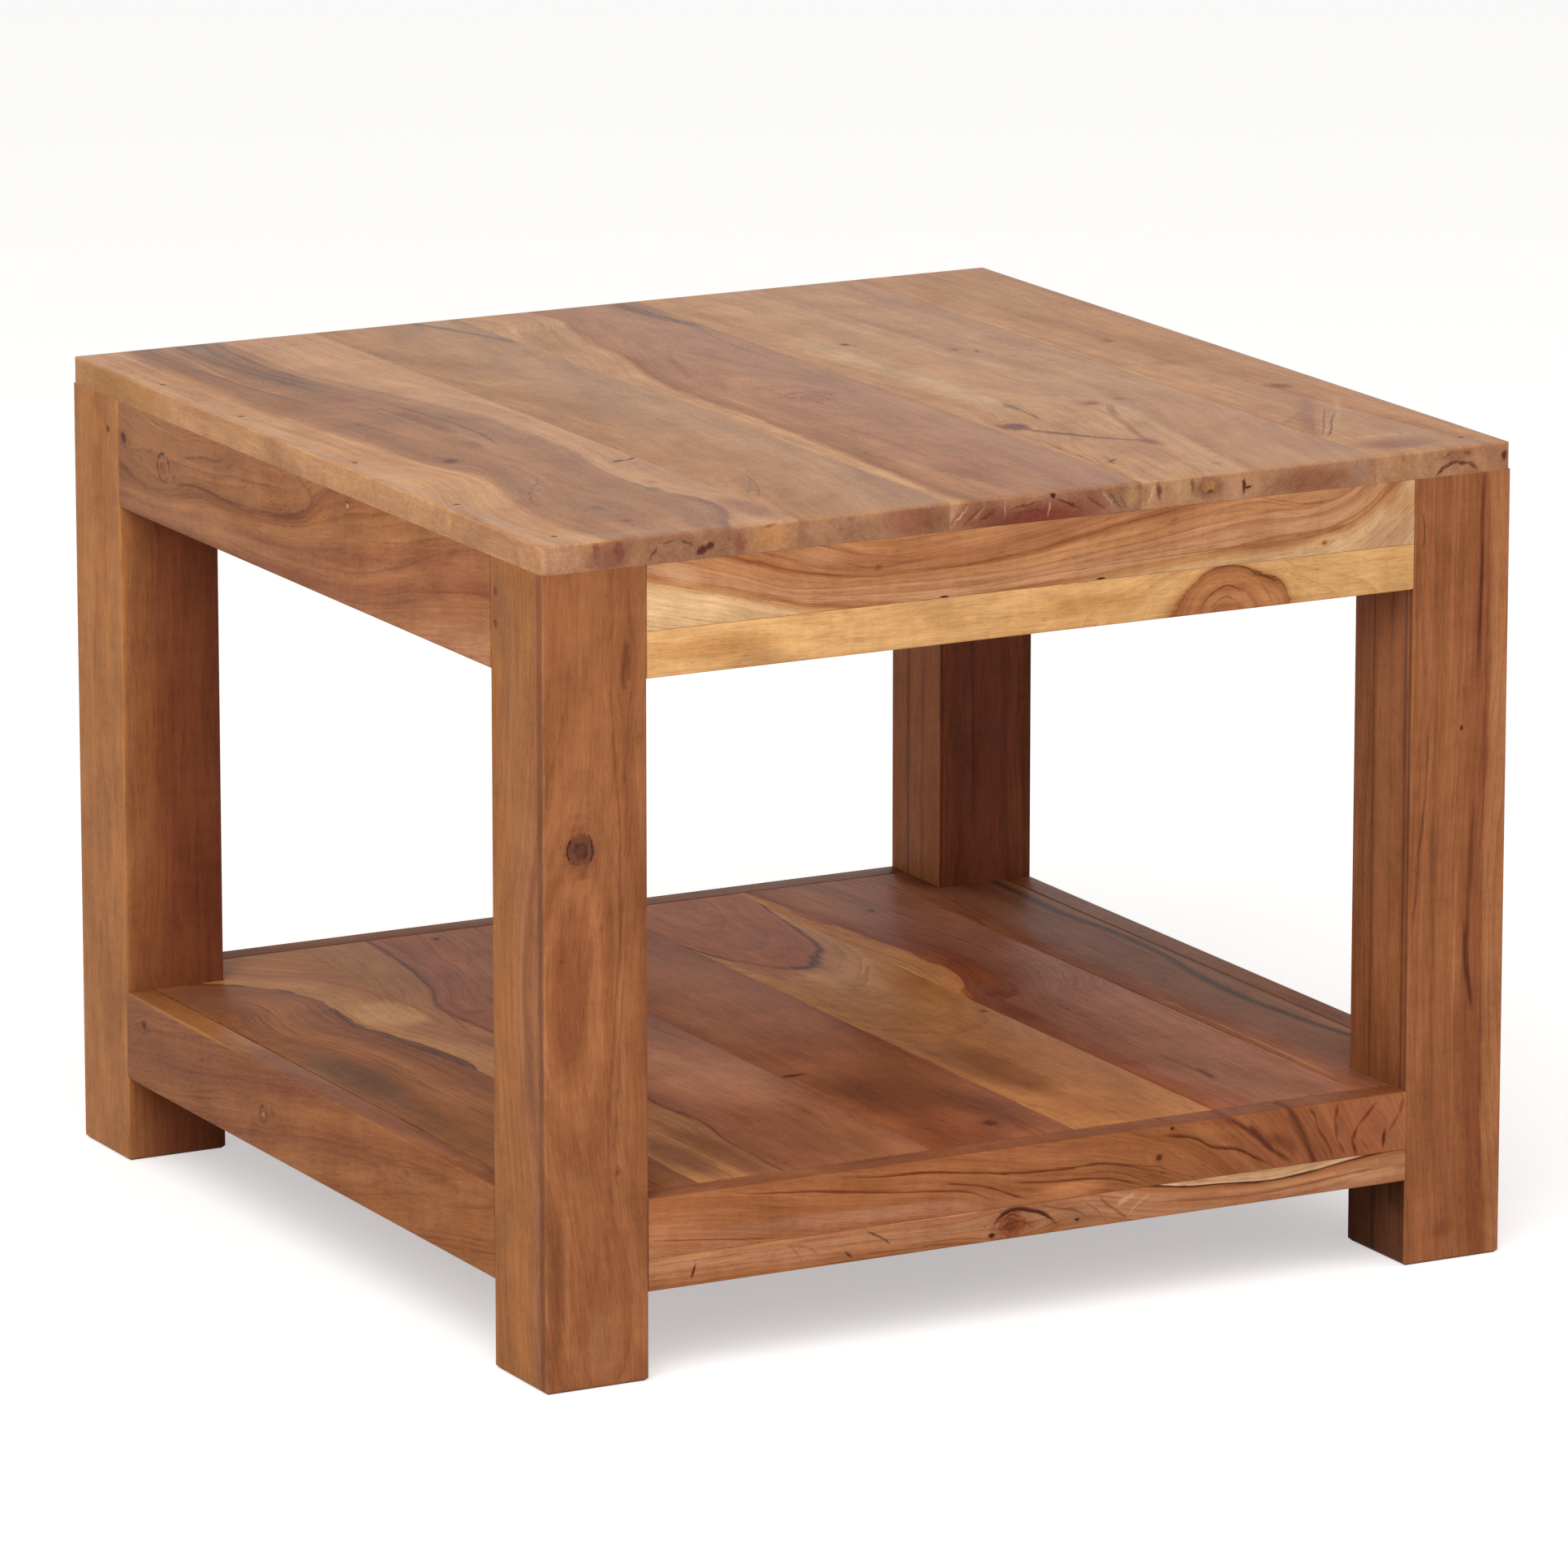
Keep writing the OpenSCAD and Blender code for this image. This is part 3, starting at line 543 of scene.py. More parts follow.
# A flame of heartwood round a knot with two dark rings
wear("top_board_3", acacia(
    "oiled_acacia_top_3", "YXZ", TOP_FACE, seed=3.0, spacing=4.5, lines=0.14, bands=0.12, wander=3.0,
    feather=2.0,
    guides=[
        (-45, [(-285, -44), (-200, -43), (-150, -40), (-100, -38), (-40, -35), (0, -37), (40, -38), (70, -36),
               (95, -32), (120, -26), (150, -20), (180, -18), (200, -14), (235, -8), (255, -2), (285, -8)]),
        (0, [(-285, 10), (-9, 14), (60, 10), (141, 11), (200, 22), (285, 28)]),
    ],
    depth=[(-285, -38), (-100, -34), (0, -36), (75, -44), (141, -50), (200, -60), (285, -70)],
    zones=[
        (-70, "#bd8b61"), (-48, "#bd8b61"), (-45, CLAY), (-42, "#9c6744"), (-30, "#ab7550"), (-15, "#a26c4a"),
        (0, "#ab7550"), (15, "#a26c4a"), (40, "#a9734f"),
    ],
    knots=[(-8, 14, 8, 48, MINK)],
    streaks=[
        ([(194, 58), (215, 57), (235, 52), (255, 49), (300, 47)], 7, 5, UMBER, 0.8),
        ([(60, 53), (110, 49), (160, 50), (210, 57)], 1.2, 1.2, "#754c36", 0.8),
        ([(215, 58), (240, 55), (300, 51)], 2, 1.6, "#4a2f22", 0.9),
        ([(30, -38), (70, -35), (95, -30), (120, -24), (150, -17)], 1, 6, RED, 0.5),
        ([(60, -20), (100, -8), (130, 2), (152, 14)], 3, 3, RED, 0.35),
        ([(60, 36), (100, 28), (130, 20), (150, 12)], 3, 3, RED, 0.3),
        ([(-285, -43), (-150, -37), (0, -34)], 1, 3, RED, 0.35),
        ([(-285, -10), (-160, -4), (-60, -8)], 4, 3, RED, 0.3),
    ],
    patches=[
        (-225, 6, 60, 22, 0, RED, 0.35), (-8, 17, 10, 8, 0, "#84583e", 0.6),
        (-8, 17, 22, 18, 0, "#9a5f44", 0.4),
    ] + ringed(-5, 17, 13, "#7d4c36", 0.75) + ringed(-8, 17, 6.5, "#7d4c36", 0.7),
    ends=[
        (-34, 441, 20, 12, 0, "#93543e", 0.7), (30, 441, 20, 12, 0, "#93543e", 0.6),
        (0, 436, 48, 14, 0, "#84402c", 1.0), (-30, 441, 9, 0.9, 25, BARK, 0.8),
        (-8, 444.5, 14, 0.9, 6, BARK, 0.8), (18, 443, 12, 1.0, -22, "#5a2a1a", 0.9),
        (-5, 441, 16, 0.8, 0, BARK, 0.6), (8.5, 448.5, 2.2, 3.2, 0, INK, 1.1),
        (-46, 443, 8.5, 0.9, 42, "#cda27c", 0.8), (-50, 441, 6, 0.9, 50, "#7d4430", 0.7),
        (-40, 441.5, 9, 0.9, 40, "#7d4430", 0.8), (-36, 442, 7, 0.8, 45, "#c79a76", 0.6),
        (-30, 442, 9, 0.9, 32, "#6f3a28", 0.8), (34, 442, 10, 0.9, -35, "#6f3a28", 0.8),
        (-20, 444, 0.7, 7, 0, "#c79a76", 0.6), (6.5, 441, 6, 0.9, 75, "#c79074", 0.9),
        (42, 443, 9, 1.1, -50, "#b8947a", 0.9), (46, 442, 9, 0.9, -52, "#654636", 0.7),
        (56, 443.5, 6, 8, 0, "#c29664", 1.0), (51, 441, 7, 1.0, -55, "#7a5f48", 0.7),
    ],
))

# Pale and open, with small knots and one long check towards the front
wear("top_board_4", acacia(
    "oiled_acacia_top_4", "YXZ", TOP_FACE, seed=4.0, spacing=6.0, lines=0.15, bands=0.10, wander=3.0,
    feather=2.5,
    guides=[
        (10, [(-285, 133), (-240, 140), (-180, 150), (-130, 160), (-90, 167), (-60, 168), (-20, 165),
              (20, 160), (60, 155), (100, 152), (160, 147), (285, 142)]),
    ],
    depth=45.0,
    zones=[
        (-95, "#b8865d"), (-20, "#bd8b62"), (2, "#bd8b62"), (10, "#ae7a54"), (22, "#b9855a"), (60, "#b17c55"),
    ],
    knots=[
        (117, 104, 2.4, 12, UMBER), (77, 152, 2.6, 14, "#8a4c30"), (66, 159, 2.2, 10, "#7d4228"),
        (-80, 100, 3.0, 14, "#6e4632"), (-93, 143, 4.2, 16, "#85522c"), (-89, 163, 3.2, 16, "#8c4a30"),
        (-130, 75, 6.0, 26, "#74442f"),
    ],
    streaks=[
        ([(-110, 92), (-50, 95), (30, 93), (100, 90), (170, 88)], 17, 17, "#c69f78", 0.7),
        ([(-216, 122), (-204, 120), (-194, 117), (-187, 109), (-175, 99), (-160, 90), (-145, 80), (-128, 74),
          (-118, 72)], 4.6, 4.4, "#7a4e38", 0.95),
        ([(-215, 121), (-195, 121), (-178, 124), (-158, 130), (-130, 138), (-100, 152), (-90, 158)], 5, 3.6,
         "#8f5a3e", 0.75), ([(-290, 102), (-240, 110), (-205, 118)], 4, 5, MINK, 0.5),
        ([(-124, 95), (-112, 98), (-92, 101), (-60, 101)], 1.0, 1.2, "#70462f", 0.9),
        ([(-118, 72), (-100, 79), (-80, 80), (-60, 78)], 1.2, 1.2, DUSK, 0.45),
        ([(-285, 62), (-255, 64), (-215, 67), (-145, 69)], 1.2, 1.2, UMBER, 0.6),
        ([(-244, 72), (-226, 77)], 1.6, 1.6, UMBER, 0.6),
        ([(-290, 140), (-240, 146), (-180, 155), (-120, 163)], 5, 30, MINK, 0.35),
        ([(-290, 126), (-200, 138), (-130, 152)], 7, 5, SHELL, 0.45),
        ([(-290, 84), (-230, 90), (-205, 92)], 3, 3, MINK, 0.35), ([(-290, 64), (-150, 65)], 3, 3, OAT, 0.5),
    ],
    patches=[
        (-128, 69, 13, 4.5, 0, "#8c4830", 0.8), (-132, 77, 12, 8, 15, "#633f30", 0.6),
        (-199, 119, 15, 8, 10, "#85573d", 0.8), (-82, 100, 16, 3.2, 4, "#7a4c38", 0.8),
        (-158, 87, 16, 5, -38, "#7a503a", 0.6), (-89, 164, 7, 5, 0, "#94543a", 0.6),
        (77, 152, 8, 2.6, 0, "#8a5238", 0.8), (-240, 185, 50, 20, 0, MINK, 0.4),
        (-205, 104, 80, 20, 0, "#a06c4a", 0.5), (-266, 122, 5, 3.5, 0, "#96583a", 0.7),
        (-234, 76, 8, 1.5, 55, "#54341f", 1.1), (-170, 185, 110, 18, 0, MINK, 0.3),
        (112, 108, 5, 2, -30, DUSK, 0.5), (-80, 165, 18, 6, 0, RED, 0.25),
    ],
    ends=[
        (86, 443, 9, 9, 0, "#c09468", 0.6), (104, 443, 12, 9, 0, "#8a5636", 0.7),
        (103, 444, 5.5, 5, 0, "#c08a52", 0.9), (104, 441, 3.2, 1.7, 0, "#70402a", 1.0),
        (93, 445, 1.8, 6, 0, "#70402a", 0.7), (124.5, 442, 1.5, 5.5, 0, "#52251a", 1.3),
        (127, 441, 3.4, 1.4, 10, "#52251a", 1.3), (68, 443, 9, 1.1, 70, "#cda27c", 0.9),
        (72.5, 444, 2.6, 7, 5, "#703a26", 0.9), (64, 443, 4, 8, 0, "#a06a4a", 0.6),
        (165, 441, 30, 11, 0, "#8f5034", 0.6), (195, 443, 9, 9, 0, "#b58e74", 0.6),
    ],
))

# Plain honey, with two knots and short bowed marks towards the front
wear("top_board_5", acacia(
    "oiled_acacia_top_5", "YXZ", TOP_FACE, seed=5.0, spacing=5.5, lines=0.18, bands=0.12,
    guides=[(0, [(-285, 332), (0, 324), (285, 326)])], depth=30.0,
    zones=[(-130, "#b9855b"), (-105, "#b9855b"), (-80, "#b07b51"), (-60, FAWN), (-35, "#b58056")],
    knots=[(58, 240, 3.4, 14, "#86542d"), (-100, 259, 5.0, 22, "#80502a"), (-243, 249, 1.4, 8, UMBER)],
    streaks=[
        ([(-236, 207), (-226, 215), (-208, 227), (-190, 239), (-168, 255)], 1.3, 1.3, "#543020", 1.1),
        ([(-230, 208), (-208, 222), (-186, 236), (-160, 252)], 1.0, 1.0, "#6a4632", 0.9),
        ([(-222, 207), (-200, 220), (-178, 233), (-160, 245)], 0.9, 0.9, "#7a5440", 0.7),
        ([(-240, 200), (-200, 218), (-165, 238), (-120, 262)], 10, 9, "#925f46", 0.7),
        ([(-195, 206), (-178, 222), (-158, 244)], 5, 5, RED, 0.3),
        ([(-228, 214), (-200, 234), (-165, 256), (-130, 274)], 3, 5, "#bf9468", 0.5),
        ([(-60, 208), (40, 208), (180, 207)], 1.8, 1.8, SHELL, 0.6),
        ([(60, 203), (180, 202.8)], 2, 2, MINK, 0.4),
    ],
    patches=[
        (-266, 234, 20, 34, 0, "#8f5b3f", 0.9), (-243, 234, 30, 3, 92, SHELL, 0.55),
        (20, 258, 60, 24, 0, MINK, 0.3), (-12, 240, 12, 18, 0, "#95603f", 0.5),
        (-226, 250, 10, 14, 70, "#9c6848", 0.5), (-150, 222, 22, 14, 0, "#a36a4f", 0.5),
        (50, 225, 14, 18, 0, "#a8834f", 0.45), (200, 250, 90, 34, 0, "#b08a5c", 0.35),
        (-160, 256, 46, 26, 0, "#a06a4a", 0.4), (-40, 222, 60, 12, 0, OAT, 0.35),
    ],
    ends=[
        (222, 443, 17, 8, 0, "#c08c60", 0.6), (256, 446, 15, 5, 0, "#8c563a", 0.5),
        (246, 438.4, 5.4, 1.7, 46, "#562c1c", 0.9), (251.5, 441.2, 6.4, 1.7, 20, "#562c1c", 0.9),
        (259.5, 441.5, 6.4, 1.6, -12, "#5c3020", 0.9), (266, 439.2, 5.4, 1.7, -36, "#683a28", 0.85),
        (250, 446, 5, 1.0, 24, "#7a4530", 0.7), (262, 446.4, 5, 1.0, -14, "#7a4530", 0.7),
        (285.5, 443, 2.6, 4, 0, "#642e1a", 1.1),
    ],
))

# Legs: grain upright, drawn on the front face. Points are (Z, X), and for the left face of the back left leg (Z, Y)

FRONT_FACE = LEFT_FACE = (-TABLE, 1)
# Arrises of the two right legs, towards the middle: streaks from here cover a range of depth on the side
FR_SIDE = [(-110, INNER), (560, INNER)]
# The foot below the rail, whose inner side gets painted shade
FR_FOOT_SHADE = [(-80, INNER), (90, INNER)]
BR_SIDE = [(-110, INNER - 1), (560, INNER - 1)]

# A round knot with the fibres parted round it, and a darker left edge, partly painted shade of the rounded arris
wear("leg_front_left", acacia(
    "oiled_acacia_leg_fl", "ZXY", FRONT_FACE, gloss=0.12, seed=6.0, spacing=4.0, lines=0.3, bands=0.14,
    wander=2.0,
    guides=[(0, [(0, -256), (50, -258), (155, -272), (210, -275), (289, -269), (340, -266), (450, -262)])],
    depth=[(0, 36), (50, 31), (100, 34), (155, 27), (210, 23), (262, 27), (289, 34), (450, 42)], by_ring=True,
    zones=[
        (20, "#8a4e2f"), (25, HEART), (28, BROWN), (31, HEART), (38, BROWN), (46, HEART), (52, BROWN),
        (64, "#a26635"), (100, "#9d6233"),
    ],
    knots=[
        (289, -269, 6.6, 18, "#5e3526"), (384, -243, 1.2, 16, UMBER), (231, -281, 0.9, 5, RED),
        (115, -249, 1.6, 9, RED),
    ],
    streaks=[
        # Along the left arris: a dark line on the left face, darker wood with painted shade of the rounded arris, then
        # a painted highlight on the front face's edge
        ([(-110, -290), (560, -290)], 6, 6, "#5f3520", 0.5, 1.6, 6.8),
        ([(-110, -290), (560, -290)], 1, 0.3, "#b98a62", 0.3, -3, 0.6),
        ([(281, -273), (285, -275.5), (289, -276.2), (294, -275), (298, -271.5)], 1.1, 0.7, INK, 1.1),
        ([(280, -265), (284, -262.6), (289, -261.8), (294, -263), (298, -266.5)], 0.7, 1.1, INK, 1.1),
        ([(272, -268), (277, -267), (284, -267)], 3.4, 3.4, CHESTNUT, 0.7),
        ([(294, -270), (303, -268.5)], 3, 3, CHESTNUT, 0.6),
        ([(368, -243), (376, -244.5), (384, -244), (392, -242), (399, -242.5)], 2.6, 3.0, UMBER, 0.6),
        ([(374, -241.5), (384, -241), (390, -240.5)], 1.2, 1.4, UMBER, 0.6),
        ([(60, -245), (80, -250), (110, -253), (140, -254), (180, -251), (220, -248), (260, -246),
          (300, -247), (330, -249), (365, -251), (440, -248)], 0.8, 2.2, UMBER, 0.4),
        ([(60, -241), (110, -249), (180, -247), (260, -242.5), (330, -243), (380, -240), (440, -243)], 0.5,
         1.6, UMBER, 0.25),
        ([(120, -266), (200, -264), (262, -258), (320, -254), (380, -254)], 1.5, 3, TAN, 0.2),
        ([(330, -262), (380, -262), (440, -258)], 3, 5, UMBER, 0.1),
        ([(60, -231), (200, -231), (360, -231)], 4, 2, UMBER, 0.3),
    ],
    patches=[
        (400, -264, 80, 24, 0, "#a0683f", 0.35), (384, -243, 15, 3.4, 0, CHESTNUT, 0.7),
        (286, -266, 3, 2, 40, INK, 0.7), (292, -271, 2.4, 1.4, -30, INK, 0.6),
        (205, -275, 56, 8, 0, RED, 0.12), (115, -281, 40, 8, 0, RED, 0.2),
        (62, -283, 48, 6.5, 0, "#63341f", 0.6), (22, -257, 34, 15, 0, "#a26b48", 0.55),
        (70, -250, 30, 12, 0, RED, 0.2), (285, -281, 8, 3, 10, BROWN, 0.4),
    ],
))

# Long upright veins, darkest at the right, and a shaded inner side
wear("leg_front_right", acacia(
    "oiled_acacia_leg_fr", "ZXY", FRONT_FACE, gloss=0.12, seed=7.0, spacing=3.6, lines=0.33, bands=0.14,
    wander=1.2, guides=[(0, [(0, 306), (100, 302), (200, 300), (320, 304), (450, 302)])],
    depth=[(0, 26), (220, 20), (450, 28)],
    zones=[
        (-75, HEART), (-64, "#995d38"), (-55, HEART), (-46, "#995d38"), (-38, HEART), (-31, "#8b4f2e"),
        (-26, "#8b4f2e"), (-24.5, BROWN), (-18, "#a66a42"), (-12, BROWN),
    ],
    knots=[(296, 261.5, 0.9, 6, INK)],
    streaks=[
        (FR_SIDE, 6, 6, "#5f3520", 0.6, 38, 40.5), (FR_SIDE, 6, 6, "#693b25", 0.4, 20, 22),
        # The two dark lines nearest the front arris are darker wood with painted shade of the rounded arris
        (FR_SIDE, 6, 6, "#5a3020", 0.6, 5.5, 8), (FR_SIDE, 6, 6, "#4f2b1b", 0.65, 1.6, 3.2),
        # The darkening streaks on the foot, below the rail, are painted shade on its inner side
        ([(100, 230), (370, 230)], 6, 6, "#ad7249", 0.4, 10, 36), (FR_FOOT_SHADE, 6, 6, "#52301e", 0.75, 1.6, 70),
        (FR_FOOT_SHADE, 6, 6, "#24150f", 0.5, 31, 36), ([(24, 230), (84, 230)], 6, 6, "#24150f", 0.5, 1.6, 18),
        ([(318, 271.5), (350, 271.5), (385, 272.5), (420, 273), (446, 274)], 2.2, 2.0, "#5a2b1a", 0.85),
        ([(340, 271.5), (360, 272), (400, 272.5)], 1.0, 1.2, INK, 0.5),
        ([(268, 269.5), (230, 269), (200, 267), (170, 266.5), (150, 268), (134, 271)], 3.4, 3.2, "#5f2e1b",
         0.75), ([(136, 271), (150, 269), (165, 266), (190, 266.5)], 2.6, 2.6, "#4a2012", 0.75),
        ([(10, 277), (150, 275.5), (300, 276), (440, 277)], 0.6, 1.2, UMBER, 0.5),
        ([(180, 232), (230, 236), (265, 239.5), (305, 240)], 1.6, 1.0, UMBER, 0.7),
        ([(396, 235), (404, 236), (418, 235)], 1.4, 1.4, INK, 0.7),
        ([(60, 259), (130, 258.5), (240, 259)], 0.8, 0.8, TAN, 0.5),
        ([(60, 246), (200, 244), (420, 246)], 2.5, 3.5, UMBER, 0.3),
        ([(100, 235), (300, 236)], 2, 2, UMBER, 0.3),
    ],
    patches=[
        (18, 254, 10, 8, 20, "#6a3320", 0.5), (60, 262, 60, 18, 0, RED, 0.15),
        (340, 283, 110, 8, 0, TAN, 0.3),
    ],
))

# Orange at the outside, going over to red towards the inside, where the darker red is partly painted shade
wear("leg_back_left", acacia(
    "oiled_acacia_leg_bl", "ZYX", LEFT_FACE, gloss=0.12, seed=8.0, spacing=5.0, lines=0.3,
    guides=[(0, [(0, 262), (450, 256)])], depth=60.0, by_ring=True,
    # Zones by ring: the dark red ones fall on the faces turned into the table, partly painted shade
    zones=[(55, "#a86c3d"), (67, "#af7343"), (72, BROWN), (80, HEART), (92, RED), (130, "#743c25")],
))

# The darkest leg: dark brown fibres, partly painted shade as it stands in the table's own shade, with a lighter inner
# side
wear("leg_back_right", acacia(
    "oiled_acacia_leg_br", "ZXY", (INNER, 1), gloss=0.08, seed=9.0, spacing=3.5, lines=0.7,
    guides=[(0, [(0, 262), (220, 256), (450, 264)])], depth=30.0, by_ring=True,
    zones=[(28, "#80442b"), (34, "#6a3623"), (38, "#7c4329"), (45, UMBER), (60, "#84492e"), (90, UMBER)],
    streaks=[
        (BR_SIDE, 8, 8, "#ac6c42", 0.92, 1.6, 90), (BR_SIDE, 8, 8, "#50291b", 0.45, 38, 41.5),
        (BR_SIDE, 8, 8, "#6d3f28", 0.35, 20, 25),
        ([(100, 252), (280, 251), (450, 253)], 2.5, 2.5, "#4a2417", 0.6),
    ],
    # The dark patch at the top is painted shade under the tabletop
    patches=[(60, 262, 90, 26, 0, "#8a4a30", 0.5), (400, 268, 90, 22, 0, "#5c3222", 0.4)],
))

# Front apron and shelf rail: grain along the front, drawn on the front face. Points are (X, Z)

# A darker line along the top of each rail, where it meets the shelf
RAIL_TOP = [(-600, 100), (600, 100)]

# Pale at both ends, with dark bowed bands that run up to the right
wear("apron_front_upper", acacia(
    "oiled_acacia_apron_f_up", "XZY", FRONT_FACE, gloss=0.07, seed=10.0, spacing=2.2, wander=0.8, lines=0.5,
    feather=0.6,
    guides=[
        (0, [(-230, 430), (-200, 423), (-180, 418), (-165, 413), (-150, 409), (-140, 406), (-120, 403),
             (-100, 401), (-60, 399), (0, 401), (40, 404), (80, 407), (110, 408.5), (140, 409.5),
             (160, 410.5), (175, 412.5), (190, 416), (200, 421), (210, 428), (218, 434), (230, 446)]),
        (10, [(-230, 441), (-200, 431), (-180, 425), (-165, 420), (-150, 415), (-130, 412), (-100, 411),
              (-60, 410), (-30, 410), (0, 411), (20, 413), (50, 416), (80, 420), (100, 423), (120, 425),
              (140, 426), (160, 426), (172, 427), (183, 430), (192, 434), (200, 440), (230, 470)]),
        (16, [(-230, 452), (-200, 441), (-185, 436), (-172, 432), (-160, 428), (-150, 425), (-140, 422),
              (-128, 419), (-115, 417), (-100, 416.5), (-60, 416), (-20, 417.5), (0, 420), (15, 423),
              (30, 425.5), (50, 429), (80, 433), (110, 437), (150, 442), (230, 480)]),
        (30,
         [(-230, 480), (-150, 442), (-118, 430), (-100, 425), (-60, 425), (0, 431), (60, 442), (230, 500)]),
    ],
    depth=8.0,
    zones=[
        (-30, "#d8ad7e"), (-7, "#d8ad7e"), (-3, HONEY), (-1, TAN), (-0.2, BROWN), (0.8, "#bc855e"),
        (3, "#c59167"), (5, "#be8760"), (6.5, ROSE), (9.2, "#c38d63"), (10, "#ac714a"), (11, "#b77f54"),
        (14, "#b87f54"), (15.4, BROWN), (16, HEART), (16.8, BROWN), (19, "#af754e"), (26, "#a16743"),
        (34, "#ad744b"), (45, TAN),
    ],
    knots=[(174, 406, 1.2, 7, "#a95931"), (-95, 420, 1.5, 7, RED)],
    streaks=[
        ([(-185, 435), (-170, 431), (-150, 425), (-130, 420), (-110, 417)], 0.5, 0.9, "#713d25", 0.7),
        ([(-60, 416), (-30, 417), (0, 420), (15, 423), (40, 427), (70, 431), (100, 434)], 0.4, 0.9, "#7f4d2e",
         0.6), ([(-120, 428), (-108, 422), (-95, 420), (-80, 420.5), (-60, 422)], 0.4, 1.2, "#7d482b", 0.6),
        ([(-190, 420), (-165, 413.5), (-140, 408), (-110, 405), (-60, 403)], 0.4, 0.9, "#8d5836", 0.5),
        ([(-165, 408), (-120, 407), (-60, 405), (0, 406), (50, 409.5), (110, 413), (170, 416)], 0.4, 1.4,
         BROWN, 0.5),
        ([(-40, 403), (20, 406.5), (60, 408), (100, 409), (150, 410), (178, 412), (198, 419), (216, 433)],
         0.4, 0.8, "#875331", 0.6),
        ([(110, 430), (135, 432), (150, 429), (168, 428), (184, 430), (196, 436)], 0.5, 1.5, "#925f3c", 0.6),
        ([(130, 436), (150, 431), (165, 428.5), (180, 429)], 0.4, 0.8, "#7f4d2e", 0.6),
        ([(90, 428), (120, 428.5), (140, 427), (155, 426)], 0.6, 2.0, "#a16b46", 0.6),
        ([(178, 415), (195, 420), (206, 427), (214, 436)], 0.8, 1.6, "#a96a31", 0.7),
    ],
    patches=[
        (214, 408, 24, 10, 20, "#cd9b74", 1.0), (222, 424, 14, 12, 40, "#c38c60", 0.6),
        (215, 425, 4, 14, -30, TAN, 0.4), (-82, 431, 30, 5, -4, BROWN, 0.5),
        (-212, 429, 20, 7, -20, "#cf9d74", 0.7), (-128, 429, 24, 6, -8, "#c58e66", 0.5),
        (90, 430, 26, 5, 5, BROWN, 0.4), (-56, 400.6, 4, 0.8, 0, INK, 1.2), (38, 400.7, 4, 0.8, 0, INK, 1.2),
    ],
))

# Sapwood, almost the colour of straw, with one island of heartwood rings
wear("apron_front_lower", acacia(
    "oiled_acacia_sapwood", "XZY", FRONT_FACE, gloss=0.07, seed=11.0, spacing=3.0, wander=0.8, lines=0.35,
    bands=0.10, feather=0.6, guides=[(0, 373)], by_ring=True,
    depth=[
        (-230, 40), (60, 33), (74, 28), (80, 25.8), (84, 24.7), (90, 21), (97, 15.3), (105, 7), (112, 2),
        (120, 3), (130, 12), (137, 16.6), (143, 18.8), (148, 21.2), (151, 23.6), (153, 25.7), (158, 27.5),
        (175, 31), (230, 38),
    ],
    zones=[
        (0, "#ab6d43"), (6, BROWN), (8, "#ab6d43"), (12, "#b57c50"), (14, BROWN), (15.5, "#a86a41"),
        (20, "#b67a4c"), (24, "#a86a41"), (25.6, HEART), (26.6, SAP_DEEP), (29, SAP), (60, SAP),
    ],
    streaks=[
        ([(98, 395.5), (105, 398.5), (112, 399.6), (122, 399), (130, 396), (137, 393), (143, 391), (148, 388),
          (152, 381), (153.5, 377)], 1.0, 0.7, UMBER, 0.8),
        ([(128, 396), (134, 393), (140, 391), (146, 388)], 1.6, 0.5, INK, 0.8),
        ([(97, 377), (101, 382), (105, 385.5), (110, 388), (116, 389), (121, 387), (124, 383), (126, 377)],
         0.8, 0.7, UMBER, 0.8),
        ([(103, 376), (107, 380), (113, 383), (119, 381), (122, 376)], 0.8, 0.6, "#7a452b", 0.7),
        ([(80, 378), (86, 384), (92, 389), (98, 394)], 1.2, 1.6, "#9a6038", 0.6),
        ([(134, 390), (139, 384), (143, 376)], 2.5, 1.5, RED, 0.45),
        ([(-230, 377.5), (-160, 376.5)], 1, 0.6, BROWN, 0.4),
    ],
    patches=[
        (30, 387, 50, 9, 0, "#c48a50", 0.7), (-190, 388, 60, 9, 0, SAP_DEEP, 0.8),
        (35, 376, 3, 1.2, 30, OAT, 0.8), (185, 392, 40, 7, 0, "#d3a06a", 0.4),
    ],
))

